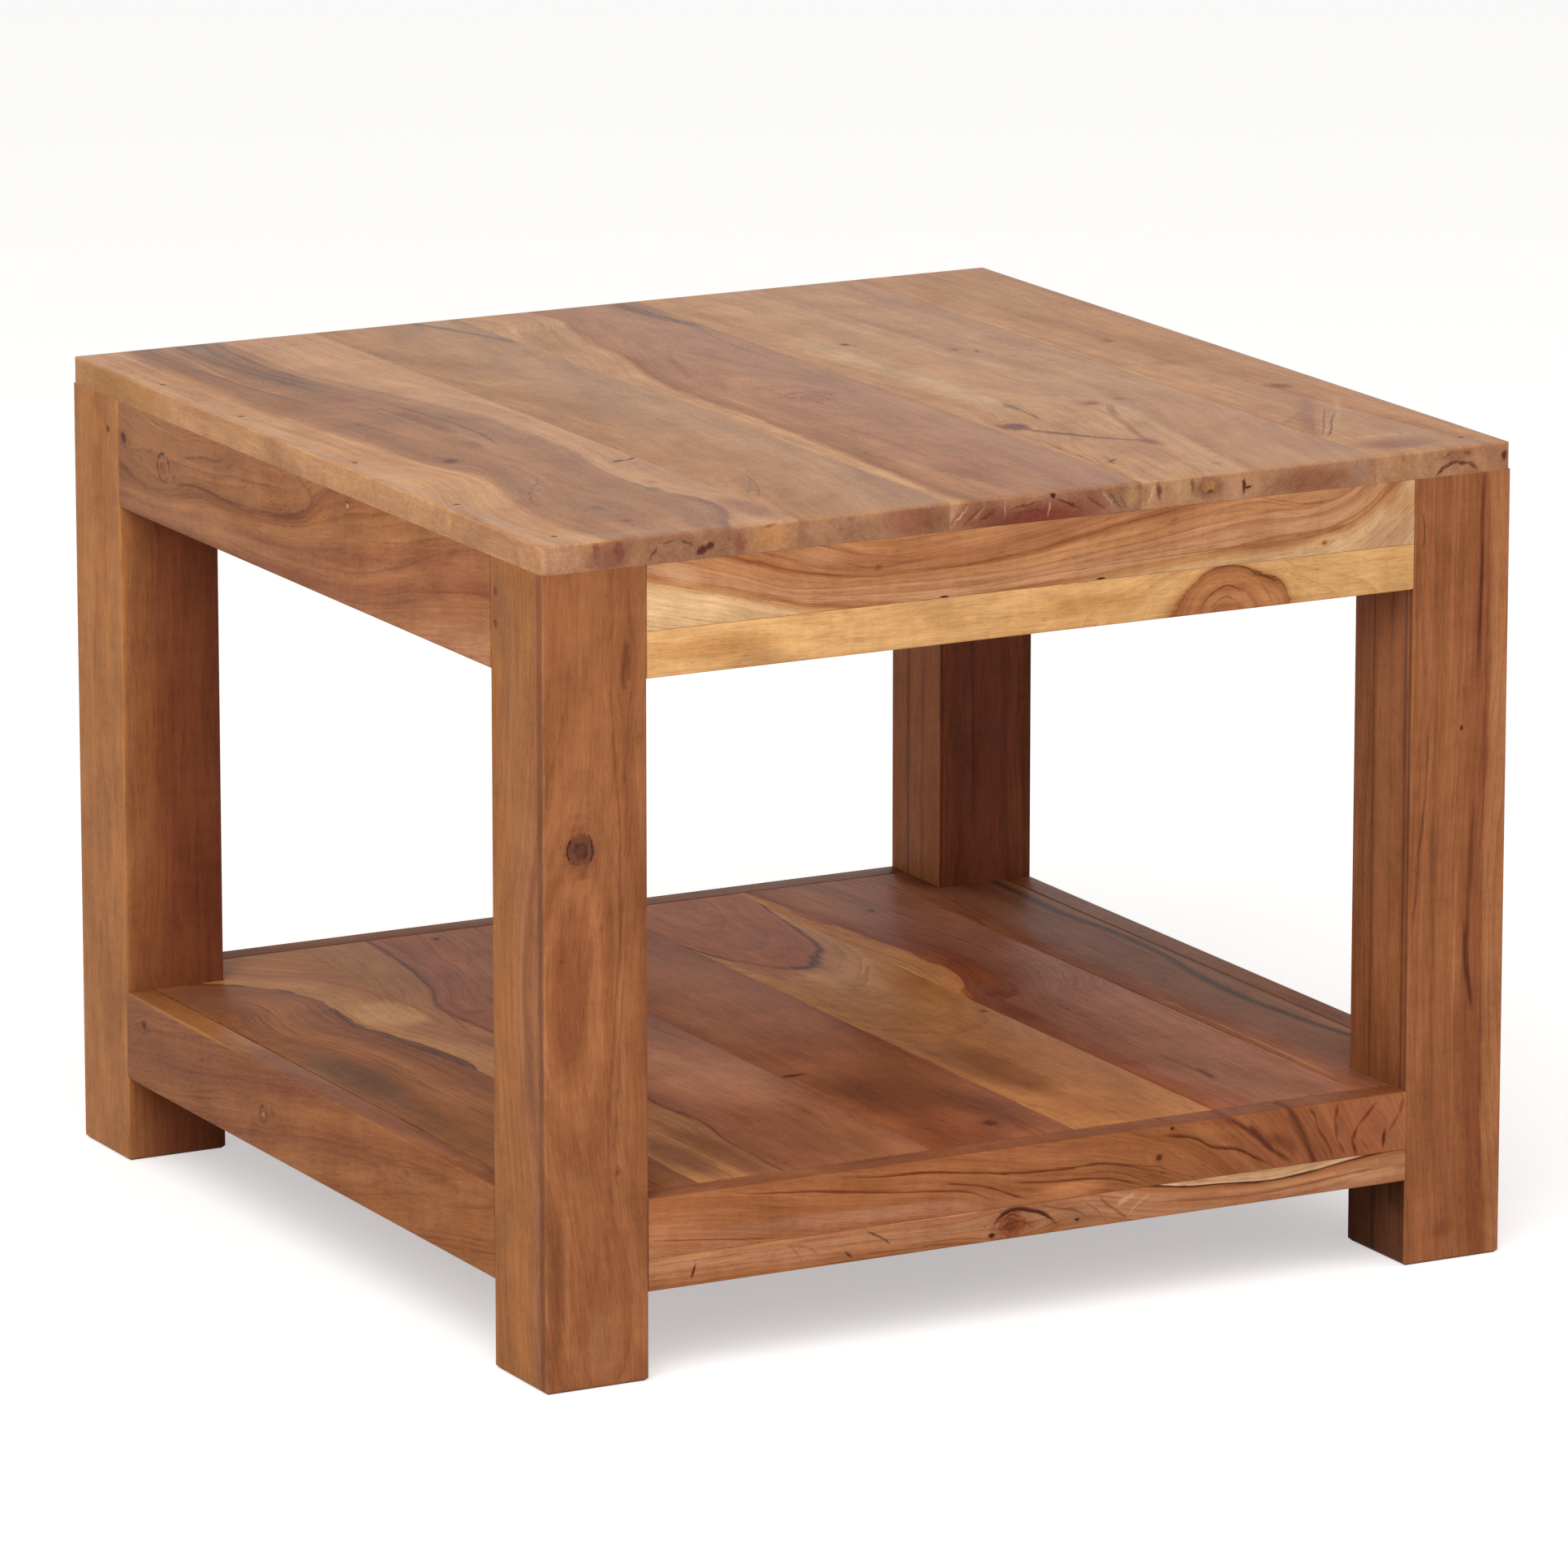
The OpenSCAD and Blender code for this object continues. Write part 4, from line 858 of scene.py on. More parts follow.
# Bowed rings that run down to the right and end in broken arcs
wear("rail_front_upper", acacia(
    "oiled_acacia_rail_f_up", "XZY", FRONT_FACE, gloss=0.015, seed=12.0, spacing=2.6, wander=2.6, lines=0.28,
    bands=0.11, feather=0.8,
    guides=[
        (100, [(-230, 100), (-190, 96), (-150, 90), (-100, 83), (-60, 79), (-30, 74), (0, 68), (40, 62),
               (70, 54), (100, 42), (130, 18), (150, -2), (170, -28), (190, -62), (205, -92), (218, -110),
               (230, -135)]),
    ],
    depth=8.0,
    zones=[
        (60, "#a86c49"), (72, "#b0744f"), (80, "#ab6f4b"), (86, "#a56843"), (97, "#9c603c"), (100, "#a96c45"),
        (106, "#9a5d39"), (112, "#a66a43"), (118, "#995c38"), (126, "#a46641"), (140, HEART),
        (152, "#a86a44"), (166, "#96583a"), (180, "#a2643e"), (205, "#985a3c"), (240, "#a2643f"),
        (280, "#ab6c44"),
    ],
    knots=[(76, 81, 1.6, 9, UMBER), (84, 97, 0.8, 3, INK)],
    streaks=[
        (RAIL_TOP, 4.0, 3.0, "#80462b", 0.8),
        ([(-190, 98), (-170, 93), (-150, 91), (-120, 88), (-90, 83.5), (-60, 80), (-40, 77), (-25, 71),
          (-12, 68)], 0.8, 1.4, "#743820", 0.9),
        ([(-135, 98), (-100, 93.5), (-60, 90.5), (-30, 86), (0, 83), (20, 82), (40, 82), (55, 79), (70, 75),
          (88, 70)], 0.8, 1.6, "#66301c", 0.9),
        ([(-230, 75), (-200, 72), (-170, 68.5), (-150, 66.5)], 0.7, 1.4, "#743820", 0.75),
        ([(-60, 84), (-40, 81), (-25, 77), (-10, 71), (0, 68)], 0.8, 1.0, "#65301c", 0.8),
        ([(-20, 80), (10, 76), (40, 74), (60, 69), (74, 64)], 0.8, 1.5, "#66301c", 0.9),
        ([(30, 78), (50, 76), (64, 71), (76, 65)], 0.5, 0.8, UMBER, 0.6),
        ([(44, 83), (60, 79), (76, 76), (90, 70), (104, 67)], 0.5, 0.8, UMBER, 0.6),
        ([(72, 93), (90, 91), (100, 88), (108, 83), (125, 79), (138, 72), (150, 66)], 1.2, 2.4, "#5e2c1b",
         0.9),
        ([(112, 100), (124, 94), (134, 87), (142, 80), (150, 74), (162, 66)], 3.0, 3.0, "#5f3020", 0.85),
        ([(130, 91), (136, 87), (142, 81), (148, 76)], 4.4, 5.4, "#54291d", 0.8),
        ([(140, 84), (152, 80), (164, 72)], 6, 6, "#7a3f28", 0.6),
        ([(153, 101), (159, 93), (164, 85), (168, 77), (173, 66), (177, 58)], 9, 7, "#58301f", 0.8),
        ([(167, 97), (172, 93), (175, 84), (180, 77), (185, 66), (187, 60)], 2.2, 2.2, "#70371f", 0.9),
    ],
    patches=[
        (210, 84, 30, 24, 0, "#ab664c", 0.45), (154, 80, 12, 6, -40, "#75402c", 0.5),
        (195, 84, 34, 20, -60, "#9a5434", 0.35), (189, 84, 9, 4, -80, "#84543c", 0.5),
        (186.2, 92.5, 6.5, 1.6, 80.5, RUSSET, 0.75), (186, 83, 8.5, 1.6, -83, RUSSET, 0.75),
        (189.7, 72, 7, 1.6, -61, RUSSET, 0.75), (205.5, 89, 11.5, 1.7, 47, "#74361c", 0.8),
        (197.7, 79, 6, 1.7, 66, RUSSET, 0.85), (197.5, 71.5, 7, 1.6, -73, RUSSET, 0.85),
        (216, 74, 7.5, 1.6, 85, "#542616", 0.9), (227, 90.5, 6.5, 1.8, 80, "#8a4020", 0.75),
        (222.5, 82, 8, 1.6, 55, "#84421f", 0.7), (204.5, 71.5, 7, 1.5, -52, "#84421f", 0.7),
        (222, 73, 6, 6, 0, "#9c6a4e", 0.5), (15, 86, 60, 6, -8, "#b4794c", 0.4),
        (-95, 72, 120, 6, -2, "#bb8466", 0.55), (22, 71, 30, 6, 0, "#cd8657", 0.75),
        (22, 93, 26, 5, 0, "#93573a", 0.6), (110, 92, 22, 4, -10, "#b0743f", 0.4),
    ],
))

# A dark knot near the middle, short checks and a pale wedge at the right
wear("rail_front_lower", acacia(
    "oiled_acacia_rail_f_low", "XZY", FRONT_FACE, gloss=0.07, seed=13.0, spacing=2.8, wander=1.0, lines=0.5,
    feather=0.7,
    guides=[
        (100, [(-230, 76), (-100, 74), (0, 72), (30, 74), (60, 68), (75, 65), (90, 63), (110, 61.5),
               (130, 60), (150, 59.5), (170, 61), (190, 63.5), (210, 66), (230, 67)]),
    ],
    depth=6.0,
    zones=[
        (74, BROWN), (82, "#b07650"), (86, "#b27c58"), (90, "#a86c48"), (94, "#b67e58"), (98, "#a8683f"),
        (99.2, HEART), (99.6, UMBER), (100.3, UMBER), (101, "#c9a17b"), (104, "#c49568"), (110, "#c9a17b"),
    ],
    knots=[(-14, 56, 6.5, 16, "#83482c")],
    streaks=[
        ([(-232, 64), (-180, 64.5), (-130, 65)], 2.5, 2.0, HONEY, 0.7),
        ([(-28, 50), (-25, 56), (-21, 61), (-16, 63.5), (-10, 64), (-2, 62), (6, 59), (12, 54), (16, 49)],
         2.0, 2.4, "#4a2216", 1.1),
        ([(-19, 57), (-17, 60), (-14, 61.6), (-11, 60.5), (-9, 57)], 0.9, 0.9, INK, 0.85),
        ([(-22, 53), (-14, 56.5), (-6, 56), (0, 51)], 0.9, 1.3, "#5a2c1b", 0.6),
        ([(60, 68), (75, 65), (90, 63), (110, 61.5), (130, 60), (150, 59.5), (170, 61), (190, 63.5),
          (210, 66), (230, 67)], 0.6, 0.9, INK, 0.85),
        ([(2, 65), (14, 61), (26, 58), (34, 52)], 1.0, 1.4, "#6b3a24", 0.6),
        ([(38, 66), (44, 60), (52, 54), (58, 49)], 2, 1.5, "#6b3a24", 0.6),
        ([(30, 62), (37, 58), (42, 52)], 1.2, 1.2, "#7c4930", 0.6),
        ([(-102, 64), (-98, 62), (-92, 59), (-86, 54)], 1.2, 1.0, "#4a2416", 0.8),
        ([(-150, 62), (-135, 59), (-128, 52)], 1.5, 1.5, HEART, 0.6),
        ([(-148, 63), (-143, 58), (-139, 50)], 2.0, 1.0, "#7c4930", 0.5),
        ([(50, 58), (56, 61), (62, 63)], 2.5, 2.5, "#c39a72", 0.7),
        ([(56, 50), (64, 58), (72, 62)], 1.5, 1.5, "#c39a72", 0.5),
        ([(70, 58), (110, 54), (150, 53.5), (200, 57), (230, 59)], 1.2, 1.8, "#864c2e", 0.8),
    ],
    patches=[
        (165, 55, 50, 6, 0, "#c08a60", 0.5), (208, 55, 28, 5, 0, "#d39a70", 0.7),
        (102, 55, 20, 5, 0, "#9a6340", 0.5), (-204, 56, 6, 1.1, 72, "#4a2416", 1.0),
        (-112, 52.5, 4, 1.2, -40, UMBER, 0.9), (-26, 51.5, 3, 2.0, 0, INK, 1.1),
        (30, 56, 26, 9, -15, "#98664a", 0.6), (-150, 57, 50, 7, 0, "#b37c5c", 0.35),
        (26, 53.5, 2.4, 1.2, 0, INK, 1.0), (4, 60, 4, 1.2, -40, "#52281a", 0.8),
    ],
))

# Left apron and rail: grain from back to front, drawn on the outer face. Points are (Y, Z)

# Dark veins that fall towards the back, over rosy brown
wear("apron_left", acacia(
    "oiled_acacia_apron_l", "YZX", LEFT_FACE, gloss=0.12, seed=14.0, spacing=3.0, wander=1.6, lines=0.45,
    bands=0.12,
    guides=[
        (0,
         [(-230, 424), (-200, 420), (-150, 411), (-100, 400), (-60, 393), (0, 387), (100, 384), (230, 380)]),
        (14, [(-230, 452), (-150, 432), (-100, 422), (-60, 415), (-20, 408), (20, 401), (60, 397), (120, 395),
              (160, 391), (230, 388)]),
        (26, [(-230, 490), (-100, 450), (-40, 434), (-22, 424), (-10, 416), (20, 409), (60, 405), (100, 404),
              (140, 403), (165, 398), (200, 396), (230, 400)]),
        (40, [(-230, 540), (0, 440), (60, 432), (85, 429), (100, 425), (130, 421), (150, 417), (190, 420),
              (230, 430)]),
    ],
    depth=10.0,
    zones=[
        (-40, "#b07853"), (-20, "#a56b46"), (-8, "#945a3a"), (0, "#a56b46"), (6, "#945a3a"), (12, "#a86f44"),
        (20, "#9c6238"), (26, "#885132"), (28, "#a26940"), (40, "#a56c43"), (60, "#a86f47"),
    ],
    knots=[(223, 416, 2.8, 14, UMBER), (171, 408, 6.0, 24, "#915a3a")],
    streaks=[
        ([(-22, 425), (-10, 415), (5, 411), (30, 408), (60, 405), (75, 404)], 1.2, 1.2, "#74422b", 0.7),
        ([(-21, 423), (-12, 430), (-2, 434), (4, 436)], 3.0, 2.0, "#7d4b2f", 0.6),
        ([(68, 403.5), (100, 405), (140, 404.5), (162, 400)], 1.6, 1.6, "#643626", 0.75),
        ([(140, 403), (160, 398), (180, 394), (205, 392)], 1.0, 1.6, "#7d4b2f", 0.5),
        ([(85, 431), (100, 425), (130, 421), (152, 416)], 1.4, 1.4, "#74422b", 0.65),
        ([(-190, 431), (-160, 420), (-120, 407), (-80, 397), (-30, 390), (30, 387)], 0.8, 1.6, "#804d32",
         0.5), ([(-60, 389), (0, 384), (60, 382), (120, 384)], 0.8, 1.4, "#804d32", 0.5),
    ],
    patches=[
        (-61.5, 429.6, 2.0, 2.0, 0, SAP, 1.2), (-62, 431.5, 3, 1, 0, UMBER, 0.7),
        (-215, 384, 40, 8, -12, "#bb8760", 0.5), (-190, 415, 50, 12, -12, "#96573a", 0.35),
        (-128, 410, 22, 4, -20, "#8b5034", 0.5), (157, 405, 4, 3, 0, UMBER, 0.5),
        (-45, 420, 20, 5, -25, "#8b5837", 0.5), (140, 387, 110, 12, 0, "#bd8055", 0.5),
        (60, 431, 160, 7, 0, "#94593a", 0.3),
    ] + ringed(171, 408, 7.6, "#5f3322", 1.1),
))

# Small ringed knot on plain brown, with a golden upper edge
wear("rail_left", acacia(
    "oiled_acacia_rail_l", "YZX", LEFT_FACE, gloss=0.06, seed=15.0, spacing=2.8, wander=1.6, lines=0.5,
    guides=[
        (0, [(-230, 92), (-150, 80), (-100, 72), (-40, 60), (0, 52), (230, 20)]),
        (20, [(-230, 122), (-150, 104), (-60, 90), (0, 82), (50, 72), (100, 64), (150, 56), (230, 48)]),
        (36, [(-230, 150), (0, 104), (60, 92), (120, 84), (170, 78), (230, 70)]),
    ],
    depth=[(-230, 20), (0, 12), (230, 16)],
    zones=[
        (-40, "#a06740"), (-12, "#985d36"), (0, "#a06740"), (12, "#935937"), (22, "#9e633c"), (30, "#8d5437"),
        (50, "#99603d"),
    ],
    knots=[(207, 84, 2.2, 10, UMBER), (52, 71, 3.2, 13, "#8d5437"), (-127, 80, 1.6, 10, RED)],
    streaks=[
        ([(-170, 92), (-130, 84), (-80, 76), (-30, 68)], 0.8, 1.2, "#79472d", 0.5),
        ([(0, 95), (60, 86), (120, 76), (180, 66)], 0.8, 1.4, "#703f29", 0.5),
        ([(60, 76), (100, 72), (140, 62), (180, 54)], 0.8, 1.2, "#703f29", 0.5),
        ([(130, 94), (180, 86), (226, 80)], 0.8, 1.4, "#79472d", 0.4),
        ([(78, 53), (90, 51)], 1.4, 1.4, UMBER, 0.5),
    ],
    patches=[
        (52, 70, 2.2, 1.6, 0, "#bd8662", 1.0), (40, 73, 5, 4, 0, RED, 0.5),
        (150, 99, 110, 4, 0, "#b47540", 0.9), (-150, 70, 70, 16, 0, "#a36d45", 0.3),
    ] + ringed(52, 70, 4.4, "#673826", 0.9),
))

# Plain tangential boards, each with one knot: nothing to draw the eye at the back and the right
for number, (node, grain, face) in enumerate([
    ("apron_back", "XZY", (TABLE, -1)), ("rail_back", "XZY", (TABLE, -1)),
    ("apron_right", "YZX", (TABLE, -1)), ("rail_right", "YZX", (TABLE, -1)),
]):
    height = 405 if "apron" in node else 73
    wear(node, acacia(
        "oiled_acacia_" + node, grain, face, gloss=0.07, seed=16.0 + number, spacing=3.6, wander=3.0, lines=0.5,
        guides=[(0, [
            (-230, height - 10 + 6 * number), (-60, height + 8 - 3 * number), (90, height - 6), (230, height + 9),
        ])],
        depth=[(-230, 22), (0, 12 + 3 * number), (230, 26)],
        zones=[(-35, BROWN), (-10, HEART), (0, BROWN), (14, TAN), (30, HEART)],
        knots=[(-120 + 70 * number, height - 8 + 5 * number, 3, 15, UMBER)],
        streaks=[(RAIL_TOP, 4.0, 3.0, "#6b4030", 0.75)],
    ))

# Shelf: grain from back to front, drawn on the upper face. Points are (Y, X)

SHELF_FACE = (SHELF, -1)

# Brown up to a bent dark line, golden beyond it
wear("shelf_board_1", acacia(
    "oiled_acacia_shelf_1", "YXZ", SHELF_FACE, gloss=0.03, seed=20.0, spacing=4.0, lines=0.6,
    guides=[
        (0, [(-285, -192), (-36, -192), (26, -193), (56, -198), (80, -205), (100, -209), (130, -208),
             (164, -203), (185, -209), (200, -217), (215, -230), (225, -245), (285, -300)]),
    ],
    depth=10.0,
    zones=[
        (-80, "#a76b42"), (-55, "#9a5f39"), (-30, "#a76b42"), (-8, "#9a603b"), (-1.2, "#935a3d"),
        (-0.6, "#6f4128"), (0.4, "#6f4128"), (1.4, "#c68953"), (12, "#c98e57"), (27, "#bd7c4b"),
    ],
    streaks=[
        ([(165, -213), (130, -217.5), (95, -217), (60, -208), (26, -203), (-40, -201), (-70, -202)], 0.7, 1.1,
         "#6a3d26", 0.75),
        ([(160, -223), (120, -228), (90, -225), (60, -215), (20, -211), (-60, -210)], 0.7, 1.4, "#78482b",
         0.6), ([(40, -234), (-10, -233), (-60, -231)], 1, 3, "#6a4a33", 0.6),
    ],
    patches=[
        (-222, -178, 80, 16, 0, "#8a5638", 0.9), (10, -256, 70, 22, 0, "#6a4c3a", 0.5),
        (118, -180, 37, 29, 0, "#d49b62", 1.6), (-10, -258, 105, 26, 0, "#73503a", 0.75),
        (-120, -262, 120, 18, 0, "#795339", 0.6), (190, -258, 44, 30, 0, "#885a43", 0.6),
    ],
))

# Honey up to a bent dark line, rosy brown beyond it
wear("shelf_board_2", acacia(
    "oiled_acacia_shelf_2", "YXZ", SHELF_FACE, gloss=0.03, seed=21.0, spacing=5.0, lines=0.5,
    guides=[
        (-20, [(-278, -143), (-205, -139), (-166, -136), (-113, -139), (0, -143), (122, -149), (160, -136),
               (220, -124), (272, -120)]),
    ],
    depth=22.0,
    zones=[
        (-50, "#b07a4e"), (-24, "#b67b54"), (-20.6, "#a06a48"), (-20, "#7f4d38"), (-19.2, "#7f4d38"),
        (-17.6, "#a5644a"), (-4, "#aa6849"), (20, "#b06c47"), (50, "#ae6e46"), (75, "#a26340"),
    ],
    knots=[(258, -84, 2.4, 12, UMBER), (-277, -80, 2, 8, UMBER)],
    streaks=[
        ([(100, -133), (140, -121), (165, -113), (190, -106)], 0.8, 1.2, "#70442f", 0.6),
        ([(190, -96), (215, -84), (235, -76)], 1.2, 1.2, "#70442f", 0.5),
        ([(55, -160), (80, -157), (110, -150), (125, -146)], 1.4, 1.4, "#8a5238", 0.6),
    ],
    patches=[
        (-235, -153, 90, 14, 0, "#8c583c", 0.85), (-235, -110, 70, 60, 0, "#8f5a3c", 0.7),
        (-75, -88, 110, 52, 0, "#d08b64", 1.0), (-190, -160, 60, 10, 0, "#a87046", 0.5),
        (100, -138, 6, 12, 0, "#84503a", 0.5),
    ],
))

# Plain orange brown, so the boards beside it stand out
wear("shelf_board_3", acacia(
    "oiled_acacia_shelf_3", "YXZ", SHELF_FACE, gloss=0.03, seed=22.0, spacing=5.0, lines=0.4,
    guides=[(0, [(-285, -8), (-100, -16), (100, -8), (285, -12)])], depth=30.0,
    zones=[(-50, "#a56039"), (-20, "#ac6840"), (0, "#b36b44"), (25, "#ac6840"), (50, "#9e5937")],
    knots=[(-240, 1, 4, 24, INK)],
    streaks=[
        ([(-100, -44), (-20, -43), (90, -44)], 2.0, 2.0, "#c68251", 0.5),
        ([(-160, -50), (-120, -50), (-106, -50)], 2, 2, "#c07949", 0.5),
    ],
    patches=[
        (-255, -25, 60, 46, 0, "#7c4229", 0.75), (-165, -18, 85, 45, 0, "#6e3720", 0.7),
        (-105, -47, 11, 4, 88, "#6e3621", 0.9), (-104, -46, 9, 2.5, 95, "#562816", 0.7),
        (-250, -30, 40, 30, 0, "#9e5937", 0.3), (60, 4, 120, 45, 0, "#c47b50", 0.75),
        (5, -36, 75, 16, 0, "#c07c56", 0.8), (-215, 12, 75, 22, 0, "#6c3a25", 0.65),
    ],
))

# Gold sapwood against a bowed dark line
wear("shelf_board_4", acacia(
    "oiled_acacia_shelf_4", "YXZ", SHELF_FACE, gloss=0.03, seed=23.0, spacing=5.0, lines=0.4, feather=0.6,
    guides=[(0, [(-285, 80), (97, 72), (151, 70), (285, 76)])], by_ring=True,
    depth=[
        (-285, 116), (-100, 100), (0, 80), (60, 69), (101, 60.5), (119, 57), (151, 51), (237, 42), (285, 38),
    ],
    zones=[
        (36, "#b36b48"), (46, "#b8714c"), (57, "#b16947"), (59.6, "#b8704e"), (60.2, "#7d4b36"),
        (60.9, "#7d4b36"), (62, "#cf8f60"), (70, "#dc9f68"), (84, "#d09054"), (100, "#c28252"),
        (130, "#c48450"),
    ],
    knots=[(-32, 113, 2, 10, "#914d30")],
    patches=[
        (-150, 58, 85, 24, 0, "#8f5838", 0.8), (30, 106, 70, 18, 0, "#c97e44", 0.6),
        (-120, 102, 60, 16, 0, "#c87c46", 0.45), (-240, 82, 46, 40, 0, "#a96c44", 0.7),
        (72, 70, 26, 26, 0, "#e4ac72", 0.6), (-120, 44, 60, 8, 0, "#a46c48", 0.5),
        (-200, 84, 150, 50, 0, "#b0703f", 0.4), (120, 52, 110, 16, 0, "#c87c54", 0.6),
    ],
))

# Bright gold up to the bend of the rings, rosy brown beyond it
wear("shelf_board_5", acacia(
    "oiled_acacia_shelf_5", "YXZ", SHELF_FACE, gloss=0.03, seed=24.0, spacing=4.5, lines=0.5,
    guides=[
        (0, [(-285, 112), (-90, 113), (-30, 115), (-10, 119), (5, 127), (30, 136), (85, 141.5), (140, 137),
             (200, 131), (272, 123)]),
    ],
    depth=16.0,
    zones=[
        (-20, "#e09a58"), (-3, "#d58a4f"), (-0.6, "#c0713c"), (0.6, "#9a5232"), (8, "#a05c3e"),
        (20, "#9c6048"), (40, "#a46a50"), (60, "#ac7054"), (90, "#b47658"),
    ],
    knots=[(-1, 141, 6, 26, "#874529"), (200, 168, 2.5, 12, UMBER)],
    streaks=[
        ([(-218, 155), (-190, 152), (-155, 151)], 2.4, 2.4, "#78432a", 0.6),
        ([(-260, 207.6), (-40, 207.6)], 1.6, 1.6, SAP, 0.5),
        ([(20, 142), (60, 151), (100, 154), (130, 150)], 1.0, 2.0, "#78371f", 0.4),
        ([(10, 150), (50, 160), (90, 162)], 1.5, 3.0, "#873e23", 0.35),
        ([(-9, 134), (-2, 133.5), (5, 134)], 0.9, 0.9, INK, 0.7),
        ([(-10, 148), (-2, 150), (6, 148)], 1, 1, INK, 0.6),
        ([(-230, 179), (-120, 177), (-40, 180)], 1.2, 2.4, "#c07d56", 0.6),
    ],
    patches=[
        (50, 150, 70, 12, 6, "#a3572f", 0.7), (225, 148, 66, 26, 0, "#c08058", 0.7),
        (-40, 130, 40, 9, 0, "#87452b", 0.6), (-200, 160, 90, 34, 0, "#94664e", 0.6),
        (-255, 186, 44, 18, 0, "#8a583f", 0.5), (-205, 154, 18, 3, 8, "#6e4632", 0.7),
    ],
))

# One long smoky vein
wear("shelf_board_6", acacia(
    "oiled_acacia_shelf_6", "YXZ", SHELF_FACE, gloss=0.03, seed=25.0, spacing=4.0, lines=0.5,
    guides=[(0, [(-285, 250), (0, 246), (285, 252)])], depth=20.0,
    zones=[
        (-40, "#a06140"), (-24, "#945c42"), (-5, "#87563d"), (8, "#87563d"), (20, "#956142"), (28, "#9a6a4e"),
    ],
    streaks=[
        ([(-340, 276), (-190, 268), (-166, 264), (-110, 258), (-60, 256), (-20, 259), (20, 263), (60, 266),
          (100, 265), (140, 262), (200, 264), (340, 266)], 6.0, 5, "#4a3328", 0.95),
        ([(-250, 213), (-150, 214), (-40, 213)], 1.4, 1.4, "#d28f5d", 0.7),
        ([(-120, 275), (-40, 276), (40, 277)], 1, 1, "#693b25", 0.5),
        ([(120, 203), (160, 211), (190, 208)], 2, 2, "#6f3823", 0.5),
    ],
    patches=[
        # The dark patch by the back right leg is its painted shadow
        (245, 236, 50, 26, 0, "#5f3420", 0.35), (120, 236, 60, 22, 0, "#94634a", 0.5),
        (-200, 215, 60, 12, 0, "#a66c4e", 0.5), (-20, 273, 190, 5, 0, "#6f4a38", 0.7),
    ],
))

# Sawn, not planed, and never in the light: plain brown bands
for number, node in enumerate("cleat_front cleat_back cleat_left cleat_right shelf_bearer top_batten".split()):
    wear(node, acacia(
        "sawn_acacia_" + node, "YXZ" if node in ("cleat_left", "cleat_right") else "XYZ", (0, 1), seed=30.0 + number,
        spacing=5.0, lines=0.5, guides=[(0, 20.0)], depth=30.0, zones=[(-300, HEART), (0, BROWN), (300, HEART)],
    ))


# Fastenings: each tree makes one, and sets it on the points where the solids have theirs

def islands(node):
    """The separate solids of a CAD node, each as the list of its corners."""
    shape = bmesh.new()
    shape.from_mesh(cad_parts[node].data)
    bmesh.ops.remove_doubles(shape, verts=shape.verts, dist=JOINED)
    left = set(shape.verts)
    found = []
    for first in shape.verts:
        if first not in left:
            continue
        left.discard(first)
        reached = [first]
        for vert in reached:
            for edge in vert.link_edges:
                other = edge.other_vert(vert)
                if other in left:
                    left.discard(other)
                    reached.append(other)
        found.append([v.co.copy() for v in reached])
    shape.free()
    return found


def seats(node):
    """Where each fastening starts and where it points: from its wide end, or the end on the outside."""
    found = []
    for corners in islands(node):
        low = Vector([min(c[i] for c in corners) for i in range(3)])
        high = Vector([max(c[i] for c in corners) for i in range(3)])
        middle, size = (low + high) / 2, high - low
        # Round in two directions, so its length lies in the third
        axis = min(range(3), key=lambda i: abs(size[i - 1] - size[i - 2]))
        line = Vector([i == axis for i in range(3)])
        ends = []
        for end in (low[axis], high[axis]):
            rim = [c - middle for c in corners if abs(c[axis] - end) < JOINED]
            reach = max((c - c.project(line)).length for c in rim)
            ends.append((round(reach, 5), abs(end), end))
        start = middle.copy()
        start[axis] = max(ends)[2]
        aim = Vector([0, 0, 0])
        aim[axis] = math.copysign(1, min(ends)[2] - start[axis])
        found.append((start, aim))
    return found


CREASE = 0.6  # radians: a sharper bend stays crisp


def set_on_points(tree, g, parts, material):
    """Ends a tree: its parts, each lifted along the axis, on every point, along its aim and turned at random."""
    lifted = []
    for part, height in parts:
        lift = add(tree, "CombineXYZ", [0, 0, height])
        lifted.append(add(tree, "Transform", {"Geometry": part, "Translation": lift}))
    whole = add(tree, "JoinGeometry", [lifted])
    aim = add(tree, "InputNamedAttribute", {"Name": "aim"}, data_type="FLOAT_VECTOR")
    upright = add(tree, "AlignRotationToVector", {"Vector": aim}, axis="Z")
    # A driver leaves each recess, and a lathe each pin, at its own angle
    spin = add(tree, "RandomValue", {"Min": 0.0, "Max": math.tau, "Seed": g["Seed"]}, data_type="FLOAT")
    turn = add(tree, "AxisAngleToRotation", {"Axis": (0, 0, 1), "Angle": spin})
    spun = add(tree, "RotateRotation", [upright, turn], rotation_space="LOCAL")
    placed = add(tree, "InstanceOnPoints", {"Points": g["Geometry"], "Instance": whole, "Rotation": spun})
    real = add(tree, "RealizeInstances", [placed])
    smooth = add(tree, "SetShadeSmooth", {"Geometry": real, "Shade Smooth": True})
    bend = add(tree, "InputMeshEdgeAngle").outputs["Unsigned Angle"]
    crease = add(tree, "Compare", [bend, CREASE], data_type="FLOAT", operation="GREATER_THAN")
    crisp = add(tree, "SetShadeSmooth", {"Geometry": smooth, "Selection": crease, "Shade Smooth": False}, domain="EDGE")
    add(tree, "GroupOutput", [add(tree, "SetMaterial", {"Geometry": crisp, "Material": material})])
    return tree


# A wood screw's parts, as shares of the width of its shank or its head
SCREW_PARTS = {
    "core": ("Shank", 0.36), "crest": ("Shank", 0.43), "rib": ("Shank", 0.065), "point": ("Shank", 1.0),
    "rim": ("Head", 0.5), "slot": ("Head", 0.13), "recess": ("Head", 0.4),
}
THREADED = 0.72  # share of the stem that has a thread
FINE = 0.0001  # m, the end of a sharp point


